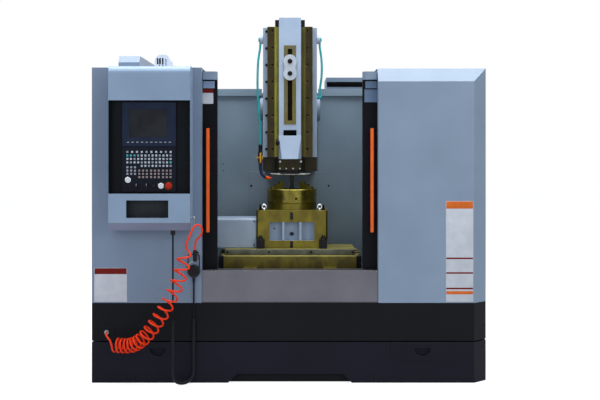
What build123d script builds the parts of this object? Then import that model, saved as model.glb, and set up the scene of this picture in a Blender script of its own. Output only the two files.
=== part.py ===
from build123d import *
import math
import os

os.makedirs("parts", exist_ok=True)

# Enclosure, with the front towards -Y and the origin on the floor at the middle
enclosure_width = 2300.0
enclosure_depth = 1730.0
enclosure_height = 1830.0
box_projection = 170.0
sheet = 4.0
corner_chamfer = 80.0
opening_width = 1026.0
chamber_depth = 1000.0
jamb_depth = 78.0
miter_share = 2.0 - math.sqrt(2.0)

# Fits shared by all pieces
running_gap = 0.3
cut_over = 5.0
fit_gap = 1.0

# Plinth and chip pan
plinth_height = 236.0
plinth_flange = 60.0
reveal_gap = 8.0
reveal_inset = 35.0
pan_height = 220.0
arch_width = 615.0
arch_flare = 52.0
arch_height = 52.0
cover_width = 368.0
cover_height = 104.0
cover_offset = 768.0
cover_proud = 3.0
cover_drop = 2.0
pull_radius = 48.0
pull_depth = 18.0
pull_wall = 2.0
pull_drop = 32.0

# Air port on the chip pan
port_inset = 89.0
port_rise = 52.0
port_plate_width = 84.0
port_plate_height = 64.0
port_plate_thickness = 6.0
port_radius = 13.0
port_length = 16.0

# Sill under the doors
sill_height = 186.0
sill_setback = 12.0
sill_depth = 122.0

# Sliding doors
door_lead = 427.0
door_width = 640.0
door_thickness = 30.0
door_setback = 88.0
door_head_gap = 14.0
door_stile = 24.0
door_rail = 40.0
guide_gap = 1.0
guide_drop = 34.0
window_inset = 130.0
window_width = 400.0
window_height = 640.0
window_base = 300.0
window_lap = 16.0
glass_thickness = 6.0
cap_length = 83.0
cap_height = 48.0
cap_projection = 22.0
cap_bevel = 16.0
cap_plate_height = 42.0
cap_plate_gap = 8.0
cap_plate_thickness = 6.0
handle_inset = 53.0
handle_base = 219.0
handle_drop = 332.7
handle_rail_width = 46.0
handle_rail_thickness = 8.0
handle_grip_width = 20.0
handle_grip_depth = 12.0
handle_reach = 40.0
handle_post = 26.0

# Rear wall of the chamber
wall_drop = 71.0
wall_flange_height = 47.0
wall_flange_depth = 24.0
wall_slot_width = 376.0
splash_width = 550.0
splash_height = 606.0

# Cable duct and vent cowl on the left roof
duct_width = 125.0
duct_height = 86.0
duct_inset = 124.0
duct_setback = 200.0
duct_length = 780.0
duct_slope = 40.0
cowl_width = 97.0
cowl_height = 96.0
cowl_inset = 334.0
cowl_setback = 250.0
cowl_depth = 120.0
cowl_round = 44.0
cowl_slot_width = 9.0
cowl_slot_height = 48.0
cowl_slot_depth = 10.0
cowl_slot_pitch = 20.0
cowl_slot_rise = 22.0

# Electrical cabinet behind the rear wall
cabinet_clear = 20.0
cabinet_depth = 460.0
cabinet_height = 1386.0
cabinet_inset = 20.0
cabinet_setback = 1210.0
cabinet_lip = 30.0
cabinet_door_thickness = 25.0
cabinet_door_gap = 6.0
cabinet_latch_width = 24.0
cabinet_latch_height = 130.0
cabinet_latch_depth = 22.0
hinge_radius = 6.0
hinge_length = 120.0
hinge_inset = 150.0
mounting_plate_gap = 60.0

# Control box on the left front panel
box_width = 464.0
box_height = 935.0
box_inset = 122.0
box_base = 429.0
box_round = 42.0
box_bevel = 46.0
panel_base = 211.0
panel_height = 528.0
panel_depth = 40.0
panel_side = 5.0
pocket_width = 238.0
pocket_height = 99.0
pocket_depth = 60.0
pocket_base = 74.0
pocket_inset = 102.0
gland_inset = 104.0
gland_setback = 60.0
gland_radius = 13.0
gland_length = 26.0
hook_rise = 74.0
hook_setback = 25.0
hook_reach = 19.0
hook_radius = 3.0
hook_ball = 8.0
hook_drop = 37.0
hook_turn = 20.0

# Operator unit in the control box
unit_width = 304.0
unit_inset = 76.0
unit_thickness = 14.0
unit_gap = 3.0
display_height = 250.0
keypad_height = 255.0
keypad_margin = 10.0
screen_width = 213.0
screen_height = 159.0
screen_inset = 40.0
screen_drop = 40.0
screen_recess = 5.0
screen_glass = 3.0
soft_key_width = 18.0
soft_key_height = 9.0
soft_key_pitch = 26.4
soft_key_rise = 23.0
soft_key_count = 10
key_size = 13.0
key_proud = 2.0
key_row_count = 4
key_column_count = 13
key_column_pitch = 20.5
key_row_pitch = 19.6
key_block_rise = 147.0
short_column_count = 4
top_key_count = 10
top_key_pitch = 27.3
top_key_rise = 226.0
group_count = 4
group_pitch = 67.3
group_key_pitch = 21.5
group_row_pitch = 18.6
group_row_count = 3
group_rise = 83.0

# Buttons and knobs of the keypad
button_rise = 34.0
estop_inset = 40.0
estop_radius = 20.0
estop_height = 16.0
estop_travel = 6.0
collar_radius = 26.0
collar_height = 3.0
start_inset = 84.0
stop_inset = 272.0
stop_rise = 68.0
push_radius = 13.0
push_height = 7.0
push_travel = 3.0
stem_radius = 8.0
stem_length = 9.0
mode_inset = 222.0
feed_inset = 165.0
small_knob_inset = 122.0
small_knob_radius = 9.0
knob_radius = 13.0
knob_height = 20.0
knob_grip = 6.0

# Handwheel pendant hung on the left front panel
pendant_inset = 44.0
pendant_height = 650.0
pendant_radius = 37.0
pendant_depth = 30.0
pendant_round = 5.0
dial_radius = 29.0
dial_depth = 10.0
spinner_radius = 5.0
spinner_length = 9.0
spinner_offset = 20.0
bail_half_width = 33.0
bail_height = 97.0
bail_radius = 3.0
bail_corner = 14.0
stem_top_radius = 11.0
stem_end_radius = 7.0
stem_drop = 66.0
peg_radius = 4.0
peg_reach = 26.0
peg_lip = 16.0

# Pendant cable and its corrugated sleeve
cable_radius = 5.0
conduit_radius = 10.0
conduit_top = 373.0
cable_floor = 12.0
bend_share = 0.45

# Coiled air hose with its straight ends, and the blow gun
hose_radius = 5.5
coil_radius = 44.0
gun_radius = 12.0
gun_length = 66.0
gun_round = 5.0
gun_nozzle_radius = 4.0
gun_nozzle_length = 34.0
gun_nozzle_tilt = 35.0
trigger_width = 9.0
trigger_length = 44.0
trigger_thickness = 4.0
trigger_gap = 6.0
trigger_drop = 8.0
trigger_ear = 4.0
trigger_pin = 2.0
trigger_barrel = 3.5
hose_tail_route = [
    (-1061.0, -802.0, 296.0),
    (-1061.0, -824.0, 296.0),
    (-1060.0, -841.0, 278.0),
    (-1055.0, -844.0, 254.0),
    (-1036.0, -845.54, 234.83),
    (-1008.0, -852.0, 232.5),
]
coil_route = [
    (-1008.0, -852.0, 232.5),
    (-930.0, -870.0, 226.0),
    (-868.0, -900.0, 250.0),
    (-811.0, -925.0, 301.0),
    (-755.0, -945.0, 376.0),
    (-704.0, -962.0, 456.0),
    (-662.0, -971.0, 537.0),
    (-628.0, -974.0, 618.0),
    (-604.0, -974.0, 698.0),
    (-589.0, -972.0, 770.0),
]
hose_loop_route = [
    (-589.0, -972.0, 770.0),
    (-580.67, -970.89, 810.0),
    (-568.0, -965.0, 850.0),
    (-556.0, -955.0, 888.0),
    (-542.0, -946.0, 915.0),
    (-516.0, -937.0, 925.0),
    (-492.0, -928.0, 908.0),
    (-490.0, -919.0, 879.0),
    (-512.0, -910.0, 852.0),
    (-536.0, -901.0, 836.0),
    (-541.0, -900.0, 810.0),
    (-541.0, -900.0, 781.0),
]

# Bed and levelling pads
bed_width = 720.0
bed_front_setback = 180.0
bed_length = 1340.0
bed_height = 560.0
bed_wall = 100.0
bed_crown = 60.0
bed_neck_width = 460.0
bed_neck_gap = 30.0
way_offset = 240.0
way_width = 80.0
way_height = 46.0
pad_radius = 55.0
pad_height = 40.0
pad_inset = 60.0

# Saddle and table
saddle_width = 870.0
saddle_depth = 560.0
saddle_height = 78.0
saddle_setback = 290.0
saddle_clear = 18.0
saddle_end_width = 32.0
saddle_end_setback = 14.0
guide_width = 40.0
guide_height = 10.0
guide_spread = 130.0
table_width = 800.0
table_depth = 380.0
table_height = 35.0
table_setback = 384.0
tee_width = 14.0
tee_depth = 9.0
tee_base_width = 24.0
tee_base_height = 8.0
tee_spread = 151.0
dog_rail_height = 28.0
dog_rail_depth = 8.0

# Rotary unit and chuck
rotary_x = 12.0
rotary_setback = 630.0
base_width = 442.0
base_depth = 340.0
base_height = 236.0
base_setback = 440.0
base_edge = 10.0
foot_notch_width = 52.0
foot_notch_depth = 60.0
foot_notch_height = 49.0
base_window_width = 277.0
base_window_height = 113.0
base_window_rise = 49.0
base_window_depth = 50.0
base_rib = 14.0
base_rib_offset = 53.0
base_plug_radius = 11.0
plate_radius = 155.0
plate_height = 38.0
plate_groove = 3.0
plate_groove_rises = (10.0, 24.0)
chuck_radius = 157.5
chuck_height = 89.0
chuck_edge = 4.0
chuck_bore = 45.0
chuck_key = 14.0
chuck_key_depth = 30.0
chuck_key_drop = 58.0
chuck_key_angle = 10.0
jaw_angles = (90.0, 210.0, 330.0)
jaw_inner = 64.0
jaw_length = 84.0
jaw_width = 32.0
jaw_height = 46.0
jaw_tongue = 14.0
jaw_steps = 3

# Clamps, eyebolts and motor cover of the rotary unit
clamp_width = 43.0
clamp_depth = 40.0
clamp_plate_height = 8.0
clamp_front = 30.0
clamp_nut_radius = 15.0
clamp_nut_height = 13.0
clamp_stud_radius = 9.0
clamp_stud_height = 22.0
eye_ring_radius = 13.0
eye_wire_radius = 4.0
eye_collar_radius = 9.0
eye_collar_height = 8.0
eye_inset = 48.0
eye_setback = 40.0
motor_cover_width = 261.0
motor_cover_depth = 260.0
motor_cover_height = 181.0
motor_cover_rise = 3.0
motor_cover_setback = 20.0
motor_cover_round = 14.0

# Column
column_width = 460.0
column_top_width = 340.0
column_depth = 514.0
column_height = 1500.0
column_shoulder = 1050.0
column_taper = 110.0
column_setback = 1006.0

# Slotting head, with the ram guide on its front
head_width = 344.0
head_height = 912.0
head_base = 1218.0
head_wall = 22.0
head_front_wall = 39.0
head_setback = 639.0
apron_height = 88.0
apron_step = 2.0
side_cover_radius = 75.0
side_cover_proud = 24.0
side_cover_edge = 5.0
side_cover_rise = 397.0
side_cover_setback = 181.0
gib_width = 72.5
gib_depth = 39.0
gib_base = 89.0
gib_length = 826.0
gib_bevel_width = 26.0
gib_bevel_depth = 20.0
screw_rows = 8
screw_pitch = 107.0
screw_top = 27.0
screw_radius = 8.0
screw_depth = 7.0
screw_inset = 13.5

# Ram and what it carries
ram_width = 140.0
ram_proud = 59.0
ram_flange_width = 190.0
ram_flange_depth = 40.0
ram_length = 894.0
ram_base = 76.0
ram_shoulder = 8.0
slot_plate_width = 76.0
slot_plate_height = 500.0
slot_plate_proud = 3.0
slot_plate_base = 219.0
slot_width = 29.0
slot_height = 454.0
ram_window_width = 83.0
ram_window_height = 39.0
ram_window_base = 144.0
ram_window_depth = 20.0
nose_width = 144.0
nose_height = 148.0
nose_reach = 36.0
nose_taper = 22.0
link_width = 84.0
link_height = 163.0
link_waist = 72.0
link_thickness = 14.0
link_rise = 578.0
link_bolt_spacing = 77.0
link_bolt_radius = 15.0
link_bolt_height = 9.0
tool_plate_height = 70.0
tool_plate_depth = 105.0
tool_plate_front = 15.0
tool_block_width = 72.0
tool_block_depth = 72.0
tool_block_height = 36.0
tool_width = 26.0
tool_depth = 20.0
tool_length = 82.0
tool_tip = 12.0
bar_radius = 4.0
bar_left = 122.0
bar_right = 130.0
bar_rise = 9.0

# Crank drive inside the head, and its motor on the column
ram_stroke = 240.0
crank_disc_radius = 146.0
crank_disc_thickness = 40.0
crank_disc_setback = 800.0
crank_pin_radius = 18.0
shaft_radius = 40.0
rod_length = 300.0
rod_width = 44.0
rod_thickness = 28.0
rod_gap = 5.0
rod_eye_radius = 27.0
link_pin_radius = 13.0
pin_gap = 4.0
gearbox_width = 260.0
gearbox_depth = 100.0
gearbox_height = 280.0
motor_radius = 92.0
motor_length = 96.0
motor_fin_height = 8.0
motor_fin_width = 6.0
motor_fin_count = 12

# Lubrication pipes and coolant line on the sides of the head
elbow_radius = 12.0
elbow_length = 30.0
elbow_drop = 74.0
elbow_setback = 20.0
boss_radius = 28.0
boss_length = 20.0
pipe_radius = 7.0
pipe_bow = 62.0
right_pipe_length = 344.0
valve_radius = 15.0
valve_height = 62.0
valve_base = 54.0
connector_radius = 11.0
connector_height = 50.0
bracket_width = 20.0
bracket_height = 24.0
lever_width = 8.0
lever_length = 34.0
lever_thickness = 4.0
lever_hub = 7.0
coolant_radius = 11.0
nozzle_length = 42.0
nozzle_end_radius = 5.0

# Places worked out from the sizes above
half_width = enclosure_width / 2
front_y = (box_projection - enclosure_depth) / 2
rear_y = front_y + enclosure_depth
wall_y = front_y + chamber_depth
box_front = front_y - box_projection
opening_half = opening_width / 2
pan_base = plinth_height + reveal_gap
pan_top = pan_base + pan_height
sill_top = pan_top + sill_height
wall_height = enclosure_height - wall_drop - pan_top
cabinet_width = half_width - cabinet_inset - column_width / 2 - cabinet_clear
door_front = front_y + door_setback
door_back = door_front + door_thickness
door_base = sill_top + running_gap
door_top = enclosure_height - sheet - door_head_gap
handle_length = door_top - handle_drop - door_base - handle_base
bed_front = front_y + bed_front_setback
bed_back = bed_front + bed_length
bed_half = bed_width / 2
bed_neck = wall_y - bed_neck_gap
bed_top = pad_height + bed_height
way_top = bed_top + way_height
saddle_base = way_top + running_gap - saddle_clear
saddle_top = saddle_base + saddle_height
saddle_front = front_y + saddle_setback
table_base = saddle_top + running_gap
table_top = table_base + table_height
table_front = front_y + table_setback
table_middle = table_front + table_depth / 2
rotary_y = front_y + rotary_setback
base_front = front_y + base_setback
base_top = table_top + base_height
plate_base = base_top + running_gap
chuck_base = plate_base + plate_height
chuck_top = chuck_base + chuck_height
head_front = front_y + head_setback
head_top = head_base + head_height
head_half = head_width / 2
column_front = front_y + column_setback
ram_back = head_front + ram_flange_depth + 2 * running_gap
channel_back = ram_back + running_gap
flange_front = head_front + running_gap
ram_front = flange_front - ram_proud
ram_bottom = head_base + ram_base
tool_top = ram_bottom - tool_plate_height - tool_block_height
link_z = ram_bottom + link_rise
cavity_front = channel_back + head_front_wall
rod_front = cavity_front + rod_gap
disc_front = front_y + crank_disc_setback
crank_z = link_z - rod_length + ram_stroke / 2
box_left = -half_width + box_inset
box_right = box_left + box_width
box_bottom = pan_top + box_base
box_top = box_bottom + box_height
panel_y = box_front + panel_depth
unit_left = box_left + unit_inset
unit_right = unit_left + unit_width
unit_front = panel_y - unit_thickness
keypad_base = box_bottom + panel_base + keypad_margin
keypad_top = keypad_base + keypad_height
display_base = keypad_top + unit_gap
pendant_x = -opening_half - pendant_inset
pendant_y = front_y - pendant_depth / 2
peg_z = pendant_height + bail_height - bail_radius - peg_radius


def block(x0, x1, y0, y1, z0, z1):
    """Box between two corners."""
    middle = Pos((x0 + x1) / 2, (y0 + y1) / 2, (z0 + z1) / 2)
    return middle * Box(x1 - x0, y1 - y0, z1 - z0)


def prism(points, axis, start, end):
    """Outline drawn across an axis and drawn out along it."""
    if axis == "x":
        corners = [(start, a, b) for a, b in points]
        reach = Vector(end - start, 0, 0)
    elif axis == "y":
        corners = [(a, start, b) for a, b in points]
        reach = Vector(0, end - start, 0)
    else:
        corners = [(a, b, start) for a, b in points]
        reach = Vector(0, 0, end - start)
    face = Face(Wire.make_polygon([Vector(*corner) for corner in corners], close=True))
    return Part() + Solid.extrude(face, reach)


def rod(start, end, radius, end_radius=None):
    """Round bar between two points, tapered where its end radius differs."""
    first = Vector(*start)
    path = Vector(*end) - first
    place = Plane(origin=first, z_dir=path)
    base = (Align.CENTER, Align.CENTER, Align.MIN)
    if end_radius is None:
        return place * Cylinder(radius, path.length, align=base)
    return place * Cone(radius, end_radius, path.length, align=base)


def side_range(side, near, far):
    """Range along X on one side of the middle, lowest first."""
    return sorted((side * near, side * far))


def bend_radii(route):
    """Largest radius that each corner of a route has room for."""
    points = [Vector(*point) for point in route]
    radii = []
    for before, corner, after in zip(points, points[1:], points[2:]):
        turn = math.radians((corner - before).get_angle(after - corner))
        shorter = min((corner - before).length, (after - corner).length)
        radii.append(bend_share * shorter / math.tan(turn / 2))
    return radii


def tube(route, radius, name):
    """Tube of straight runs and tangent arcs."""
    radii = bend_radii(route)
    path = FilletPolyline(*route, radius=radii) if radii else Line(*route)
    section = Plane(origin=path @ 0, z_dir=path % 0) * Circle(radius)
    body = sweep(section, path=path)
    share = body.volume / (math.pi * radius**2 * path.length)
    print(
        name,
        "length",
        round(path.length),
        "smallest radius",
        round(min(radii, default=0)),
        "fill",
        round(share, 3),
    )
    return body


def plan(inset):
    """Outline of the base seen from above, moved inwards by an inset."""
    leg = corner_chamfer - inset * miter_share
    x = half_width - inset
    y0 = front_y + inset
    y1 = rear_y - inset
    return [(-x, y0), (x - leg, y0), (x, y0 + leg), (x, y1), (-x, y1)]


def pull_form(x, z, radius, lift, y0, y1):
    """Half disc, flat side up, that forms a recessed pull."""
    disc = rod((x, y0, z), (x, y1, z), radius)
    upper = block(
        x - radius - cut_over,
        x + radius + cut_over,
        y0 - cut_over,
        y1 + cut_over,
        z + lift,
        z + radius + cut_over,
    )
    return disc - upper


def plinth():
    """Lower skirt of the base with its fork arch."""
    skirt = prism(plan(0), "z", 0, plinth_height)
    skirt -= prism(plan(sheet), "z", -cut_over, plinth_height - sheet)
    skirt -= prism(plan(plinth_flange), "z", 0, plinth_height + cut_over)
    top = arch_width / 2
    foot = top + arch_flare
    arch = [
        (-foot, -cut_over),
        (foot, -cut_over),
        (foot, 0),
        (top, arch_height),
        (-top, arch_height),
        (-foot, 0),
    ]
    skirt -= prism(arch, "y", front_y - cut_over, front_y + sheet + cut_over)
    for side in (-1, 1):
        z = plinth_height - cover_drop - pull_drop
        reach = pull_radius + pull_wall + fit_gap
        skirt -= pull_form(
            side * cover_offset,
            z,
            reach,
            pull_wall + fit_gap,
            front_y - cut_over,
            front_y + sheet + cut_over,
        )
    return skirt


def tray_covers():
    """Two cover plates with half-moon pulls."""
    covers = []
    for side in (-1, 1):
        x = side * cover_offset
        top = plinth_height - cover_drop
        z = top - pull_drop
        face = front_y - cover_proud
        plate = block(x - cover_width / 2, x + cover_width / 2, face, front_y, top - cover_height, top)
        cup = pull_form(x, z, pull_radius + pull_wall, pull_wall, face, front_y + pull_depth)
        hollow = pull_form(x, z, pull_radius, 0, face - cut_over, front_y + pull_depth - pull_wall)
        covers.append(plate + cup - hollow)
    return Compound(children=[cover.solid() for cover in covers])


def bed_plan():
    """Half width and reach along Y of the bed's wide front and narrow rear."""
    return (bed_half, bed_front, bed_neck), (bed_neck_width / 2, bed_neck, bed_back)


def chip_pan():
    """Upper part of the base: deck, skirt, set-back foot and air port."""
    pan = prism(plan(0), "z", pan_base, pan_top)
    pan -= prism(plan(sheet), "z", pan_base + sheet, pan_top - sheet)
    well = reveal_inset + sheet
    pan -= prism(plan(well), "z", pan_base - cut_over, pan_base + sheet + cut_over)
    foot = prism(plan(reveal_inset), "z", plinth_height, pan_base)
    foot -= prism(plan(well), "z", plinth_height - cut_over, pan_base + cut_over)
    pan += foot
    room = fit_gap / 2
    for half, y0, y1 in bed_plan():
        pan -= block(-half - room, half + room, y0 - room, y1 + room, pan_base, pan_top + cut_over)
    x = -half_width + port_inset
    z = pan_base + port_rise
    face = front_y - port_plate_thickness
    pan += block(
        x - port_plate_width / 2,
        x + port_plate_width / 2,
        face,
        front_y,
        z - port_plate_height / 2,
        z + port_plate_height / 2,
    )
    pan += rod((x, face, z), (x, face - port_length, z), port_radius)
    return pan


def left_shell():
    """Left side of the enclosure: front panel, side, roof, door jamb and guide."""
    shell = block(-half_width, -opening_half, front_y, wall_y, pan_top, enclosure_height)
    shell -= block(
        -half_width + sheet,
        -opening_half + cut_over,
        front_y + sheet,
        wall_y + cut_over,
        pan_top - cut_over,
        enclosure_height - sheet,
    )
    shell += block(
        -opening_half - sheet,
        -opening_half,
        front_y,
        front_y + jamb_depth,
        sill_top + fit_gap,
        enclosure_height,
    )
    guide = door_back + guide_gap
    shell += block(
        -half_width, -opening_half, guide, guide + sheet, enclosure_height - guide_drop, enclosure_height
    )
    shell += block(
        -half_width, -opening_half, wall_y - sheet, wall_y, pan_top + wall_height, enclosure_height
    )
    tip = front_y - peg_reach
    shell += rod((pendant_x, front_y, peg_z), (pendant_x, tip, peg_z), peg_radius)
    shell += rod((pendant_x, tip, peg_z), (pendant_x, tip, peg_z + peg_lip), peg_radius)
    shell += Pos(pendant_x, tip, peg_z) * Sphere(peg_radius)
    return shell


def right_form(inset):
    """Right side of the enclosure as a solid with its two long front bevels."""
    form = block(
        opening_half, half_width - inset, front_y + inset, wall_y, pan_top, enclosure_height - inset
    )
    upright = form.edges().filter_by(Axis.Z).group_by(Axis.Y)[0].sort_by(Axis.X)[-1]
    top = form.edges().filter_by(Axis.X).group_by(Axis.Y)[0].sort_by(Axis.Z)[-1]
    return chamfer([upright, top], corner_chamfer - inset * miter_share)


def right_shell():
    """Right side of the enclosure, bevelled along its top and outer front edges."""
    solid = right_form(0)
    jamb = block(
        opening_half,
        opening_half + sheet,
        front_y,
        front_y + jamb_depth,
        sill_top + fit_gap,
        enclosure_height,
    )
    guide = door_back + guide_gap
    rail = block(
        opening_half, half_width, guide, guide + sheet, enclosure_height - guide_drop, enclosure_height
    )
    back = block(opening_half, half_width, wall_y - sheet, wall_y, pan_top + wall_height, enclosure_height)
    return solid - right_form(sheet) + (jamb & solid) + (rail & solid) + back


def front_sill():
    """Channel between the shells that carries the doors."""
    reach = half_width - corner_chamfer - 2 * sheet
    y0 = front_y + sill_setback
    y1 = y0 + sill_depth
    channel = block(-reach, reach, y0, y1, pan_top, sill_top)
    return channel - block(
        -reach - cut_over, reach + cut_over, y0 + sheet, y1 - sheet, pan_top - cut_over, sill_top - sheet
    )


def rear_wall():
    """Three sheets at the back of the chamber, the middle one below the head."""
    top = pan_top + wall_height
    sheets = []
    for side in (-1, 1):
        x0, x1 = side_range(side, wall_slot_width / 2, half_width - sheet)
        panel = block(x0, x1, wall_y - sheet, wall_y, pan_top, top)
        panel += block(x0, x1, wall_y - wall_flange_depth, wall_y, top - wall_flange_height, top)
        n0, n1 = side_range(side, wall_slot_width / 2 - cut_over, bed_neck_width / 2 + fit_gap)
        back = wall_y + cut_over
        panel -= block(n0, n1, wall_y - sheet - cut_over, back, pan_top - cut_over, bed_top + running_gap)
        sheets.append(panel)
    slot = wall_slot_width / 2
    reach = splash_width / 2
    splash_top = bed_top + splash_height
    splash = block(-reach, reach, wall_y - 2 * sheet, wall_y - sheet, bed_top, splash_top)
    splash += block(-slot, slot, wall_y - sheet, wall_y, splash_top - wall_flange_height, splash_top)
    sheets.append(splash)
    return Compound(children=[panel.solid() for panel in sheets])


def roof_duct():
    """Cable duct and vent cowl on the left roof."""
    x0 = -half_width + duct_inset
    x1 = x0 + duct_width
    y0 = front_y + duct_setback
    y1 = y0 + duct_length
    z0 = enclosure_height
    z1 = z0 + duct_height
    profile = [(y0, z0), (y0, z1 - duct_slope), (y0 + duct_slope, z1), (y1, z1), (y1, z0)]
    duct = prism(profile, "x", x0, x1)
    duct -= block(x0 + sheet, x1 - sheet, y0 + duct_slope, y1 - sheet, z0 - cut_over, z1 - sheet)
    c0 = -half_width + cowl_inset
    d0 = front_y + cowl_setback
    cowl = block(c0, c0 + cowl_width, d0, d0 + cowl_depth, z0, z0 + cowl_height)
    crown = cowl.edges().filter_by(Axis.Y).group_by(Axis.Z)[-1]
    cowl = fillet(crown, cowl_round)
    for column in range(3):
        x = c0 + cowl_width / 2 + (column - 1) * cowl_slot_pitch
        z = z0 + cowl_slot_rise
        cowl -= block(
            x - cowl_slot_width / 2,
            x + cowl_slot_width / 2,
            d0 - cut_over,
            d0 + cowl_slot_depth,
            z,
            z + cowl_slot_height,
        )
    return Compound(children=[duct.solid(), cowl.solid()])


def electrical_cabinet():
    """Open-backed cabinet with a mounting plate."""
    x1 = half_width - cabinet_inset
    x0 = x1 - cabinet_width
    y0 = front_y + cabinet_setback
    y1 = y0 + cabinet_depth
    z1 = pan_top + cabinet_height
    case = block(x0, x1, y0, y1, pan_top, z1)
    case -= block(x0 + sheet, x1 - sheet, y0 + sheet, y1 - sheet, pan_top + sheet, z1 - sheet)
    case -= block(
        x0 + cabinet_lip,
        x1 - cabinet_lip,
        y1 - cabinet_lip,
        y1 + cut_over,
        pan_top + cabinet_lip,
        z1 - cabinet_lip,
    )
    plate = y0 + mounting_plate_gap
    case += block(x0, x1, plate, plate + sheet, pan_top, z1)
    return case


def electrical_door():
    """Door on the back of the electrical cabinet, with its latch."""
    x1 = half_width - cabinet_inset - cabinet_door_gap
    x0 = half_width - cabinet_inset - cabinet_width + cabinet_door_gap
    y0 = front_y + cabinet_setback + cabinet_depth + running_gap
    y1 = y0 + cabinet_door_thickness
    z0 = pan_top + cabinet_door_gap
    z1 = pan_top + cabinet_height - cabinet_door_gap
    door = block(x0, x1, y0, y1, z0, z1)
    door -= block(x0 + sheet, x1 - sheet, y0 - cut_over, y1 - sheet, z0 + sheet, z1 - sheet)
    for z in (z0 + hinge_inset, z1 - hinge_inset):
        door += rod((x1, y1, z - hinge_length / 2), (x1, y1, z + hinge_length / 2), hinge_radius)
    latch_x = x0 + cabinet_latch_width + cabinet_lip
    latch_z = (z0 + z1) / 2
    door += block(
        latch_x - cabinet_latch_width / 2,
        latch_x + cabinet_latch_width / 2,
        y1,
        y1 + cabinet_latch_depth,
        latch_z - cabinet_latch_height / 2,
        latch_z + cabinet_latch_height / 2,
    )
    return door


def door_set(side):
    """One sliding door with its window pane and handle."""
    x0, x1 = side_range(side, door_lead, door_lead + door_width)
    leaf = block(x0, x1, door_front, door_back, door_base, door_top)
    p0, p1 = side_range(side, door_lead + door_stile, door_lead + door_width - door_stile)
    leaf -= block(
        p0, p1, door_front + sheet, door_back + cut_over, door_base + door_rail, door_top - door_rail
    )
    near = door_lead + window_inset
    w0, w1 = side_range(side, near, near + window_width)
    z0 = door_base + window_base
    z1 = z0 + window_height
    leaf -= block(w0, w1, door_front - cut_over, door_front + sheet + cut_over, z0, z1)
    pane_y = door_front + sheet
    pane = block(
        w0 - window_lap, w1 + window_lap, pane_y, pane_y + glass_thickness, z0 - window_lap, z1 + window_lap
    )
    cap_front = door_front - cap_projection
    tip = side * door_lead
    far = side * (door_lead + cap_length)
    outline = [(tip, door_front), (tip + side * cap_bevel, cap_front), (far, cap_front), (far, door_front)]
    leaf += prism(outline, "z", door_top - cap_height, door_top)
    c0, c1 = side_range(side, door_lead + cap_bevel, door_lead + cap_length)
    plate_top = door_top - cap_height - cap_plate_gap
    leaf += block(
        c0, c1, door_front - cap_plate_thickness, door_front, plate_top - cap_plate_height, plate_top
    )
    middle = side * (door_lead + handle_inset)
    h0 = door_base + handle_base
    h1 = h0 + handle_length
    rail_front = door_front - handle_rail_thickness
    leaf += block(
        middle - handle_rail_width / 2, middle + handle_rail_width / 2, rail_front, door_front, h0, h1
    )
    g0 = middle - handle_grip_width / 2
    g1 = middle + handle_grip_width / 2
    grip_front = rail_front - handle_reach
    handle = block(g0, g1, grip_front, rail_front, h0, h1)
    handle -= block(
        g0 - cut_over,
        g1 + cut_over,
        grip_front + handle_grip_depth,
        rail_front + cut_over,
        h0 + handle_post,
        h1 - handle_post,
    )
    return leaf, pane, handle


def control_box():
    """Operator console with panel recess, pocket, cable gland and hose hook."""
    bevel_y = box_front + box_bevel
    bevel_z = box_bottom + box_bevel
    profile = [
        (front_y, box_bottom),
        (bevel_y, box_bottom),
        (box_front, bevel_z),
        (box_front, box_top),
        (front_y, box_top),
    ]
    box = prism(profile, "x", box_left, box_right)
    brow = box.edges().filter_by(Axis.X).group_by(Axis.Z)[-1].sort_by(Axis.Y)[0]
    box = fillet(brow, box_round)
    z0 = box_bottom + panel_base
    box -= block(
        box_left + panel_side, box_right - panel_side, box_front - cut_over, panel_y, z0, z0 + panel_height
    )
    x0 = box_left + pocket_inset
    p0 = box_bottom + pocket_base
    box -= block(
        x0, x0 + pocket_width, box_front - cut_over, box_front + pocket_depth, p0, p0 + pocket_height
    )
    gland_x = box_right - gland_inset
    gland_y = box_front + gland_setback
    box += rod((gland_x, gland_y, box_bottom), (gland_x, gland_y, box_bottom - gland_length), gland_radius)
    hook_y = box_front + hook_setback
    hook_z = box_bottom + hook_rise
    hook_x = box_right + hook_reach
    box += rod((box_right, hook_y, hook_z), (hook_x, hook_y, hook_z), hook_radius)
    box += Pos(hook_x, hook_y, hook_z) * Sphere(hook_ball)
    box += rod((hook_x, hook_y, hook_z), (hook_x, hook_y, hook_z - hook_drop), hook_radius)
    return box


def key_pads(xs, zs, width, height):
    """Grid of raised keys on the front of the operator unit."""
    pads = []
    face = unit_front - key_proud
    for x in xs:
        for z in zs:
            pads.append(block(x - width / 2, x + width / 2, face, unit_front, z - height / 2, z + height / 2))
    return pads


def centred(count, pitch, middle):
    """Evenly spaced places about a middle."""
    return [middle + (index - (count - 1) / 2) * pitch for index in range(count)]


def display_unit():
    """Upper half of the operator unit: bezel and soft keys."""
    top = display_base + display_height
    unit = block(unit_left, unit_right, unit_front, panel_y, display_base, top)
    s0 = unit_left + screen_inset
    s1 = top - screen_drop
    unit -= block(
        s0, s0 + screen_width, unit_front - cut_over, unit_front + screen_recess, s1 - screen_height, s1
    )
    middle = (unit_left + unit_right) / 2
    keys = key_pads(
        centred(soft_key_count, soft_key_pitch, middle),
        [display_base + soft_key_rise],
        soft_key_width,
        soft_key_height,
    )
    return unit + keys


def display_glass():
    """Screen pane, seated in the bezel."""
    s0 = unit_left + screen_inset
    s1 = display_base + display_height - screen_drop
    back = unit_front + screen_recess
    return block(
        s0 + running_gap,
        s0 + screen_width - running_gap,
        back - screen_glass,
        back,
        s1 - screen_height + running_gap,
        s1 - running_gap,
    )


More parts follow.
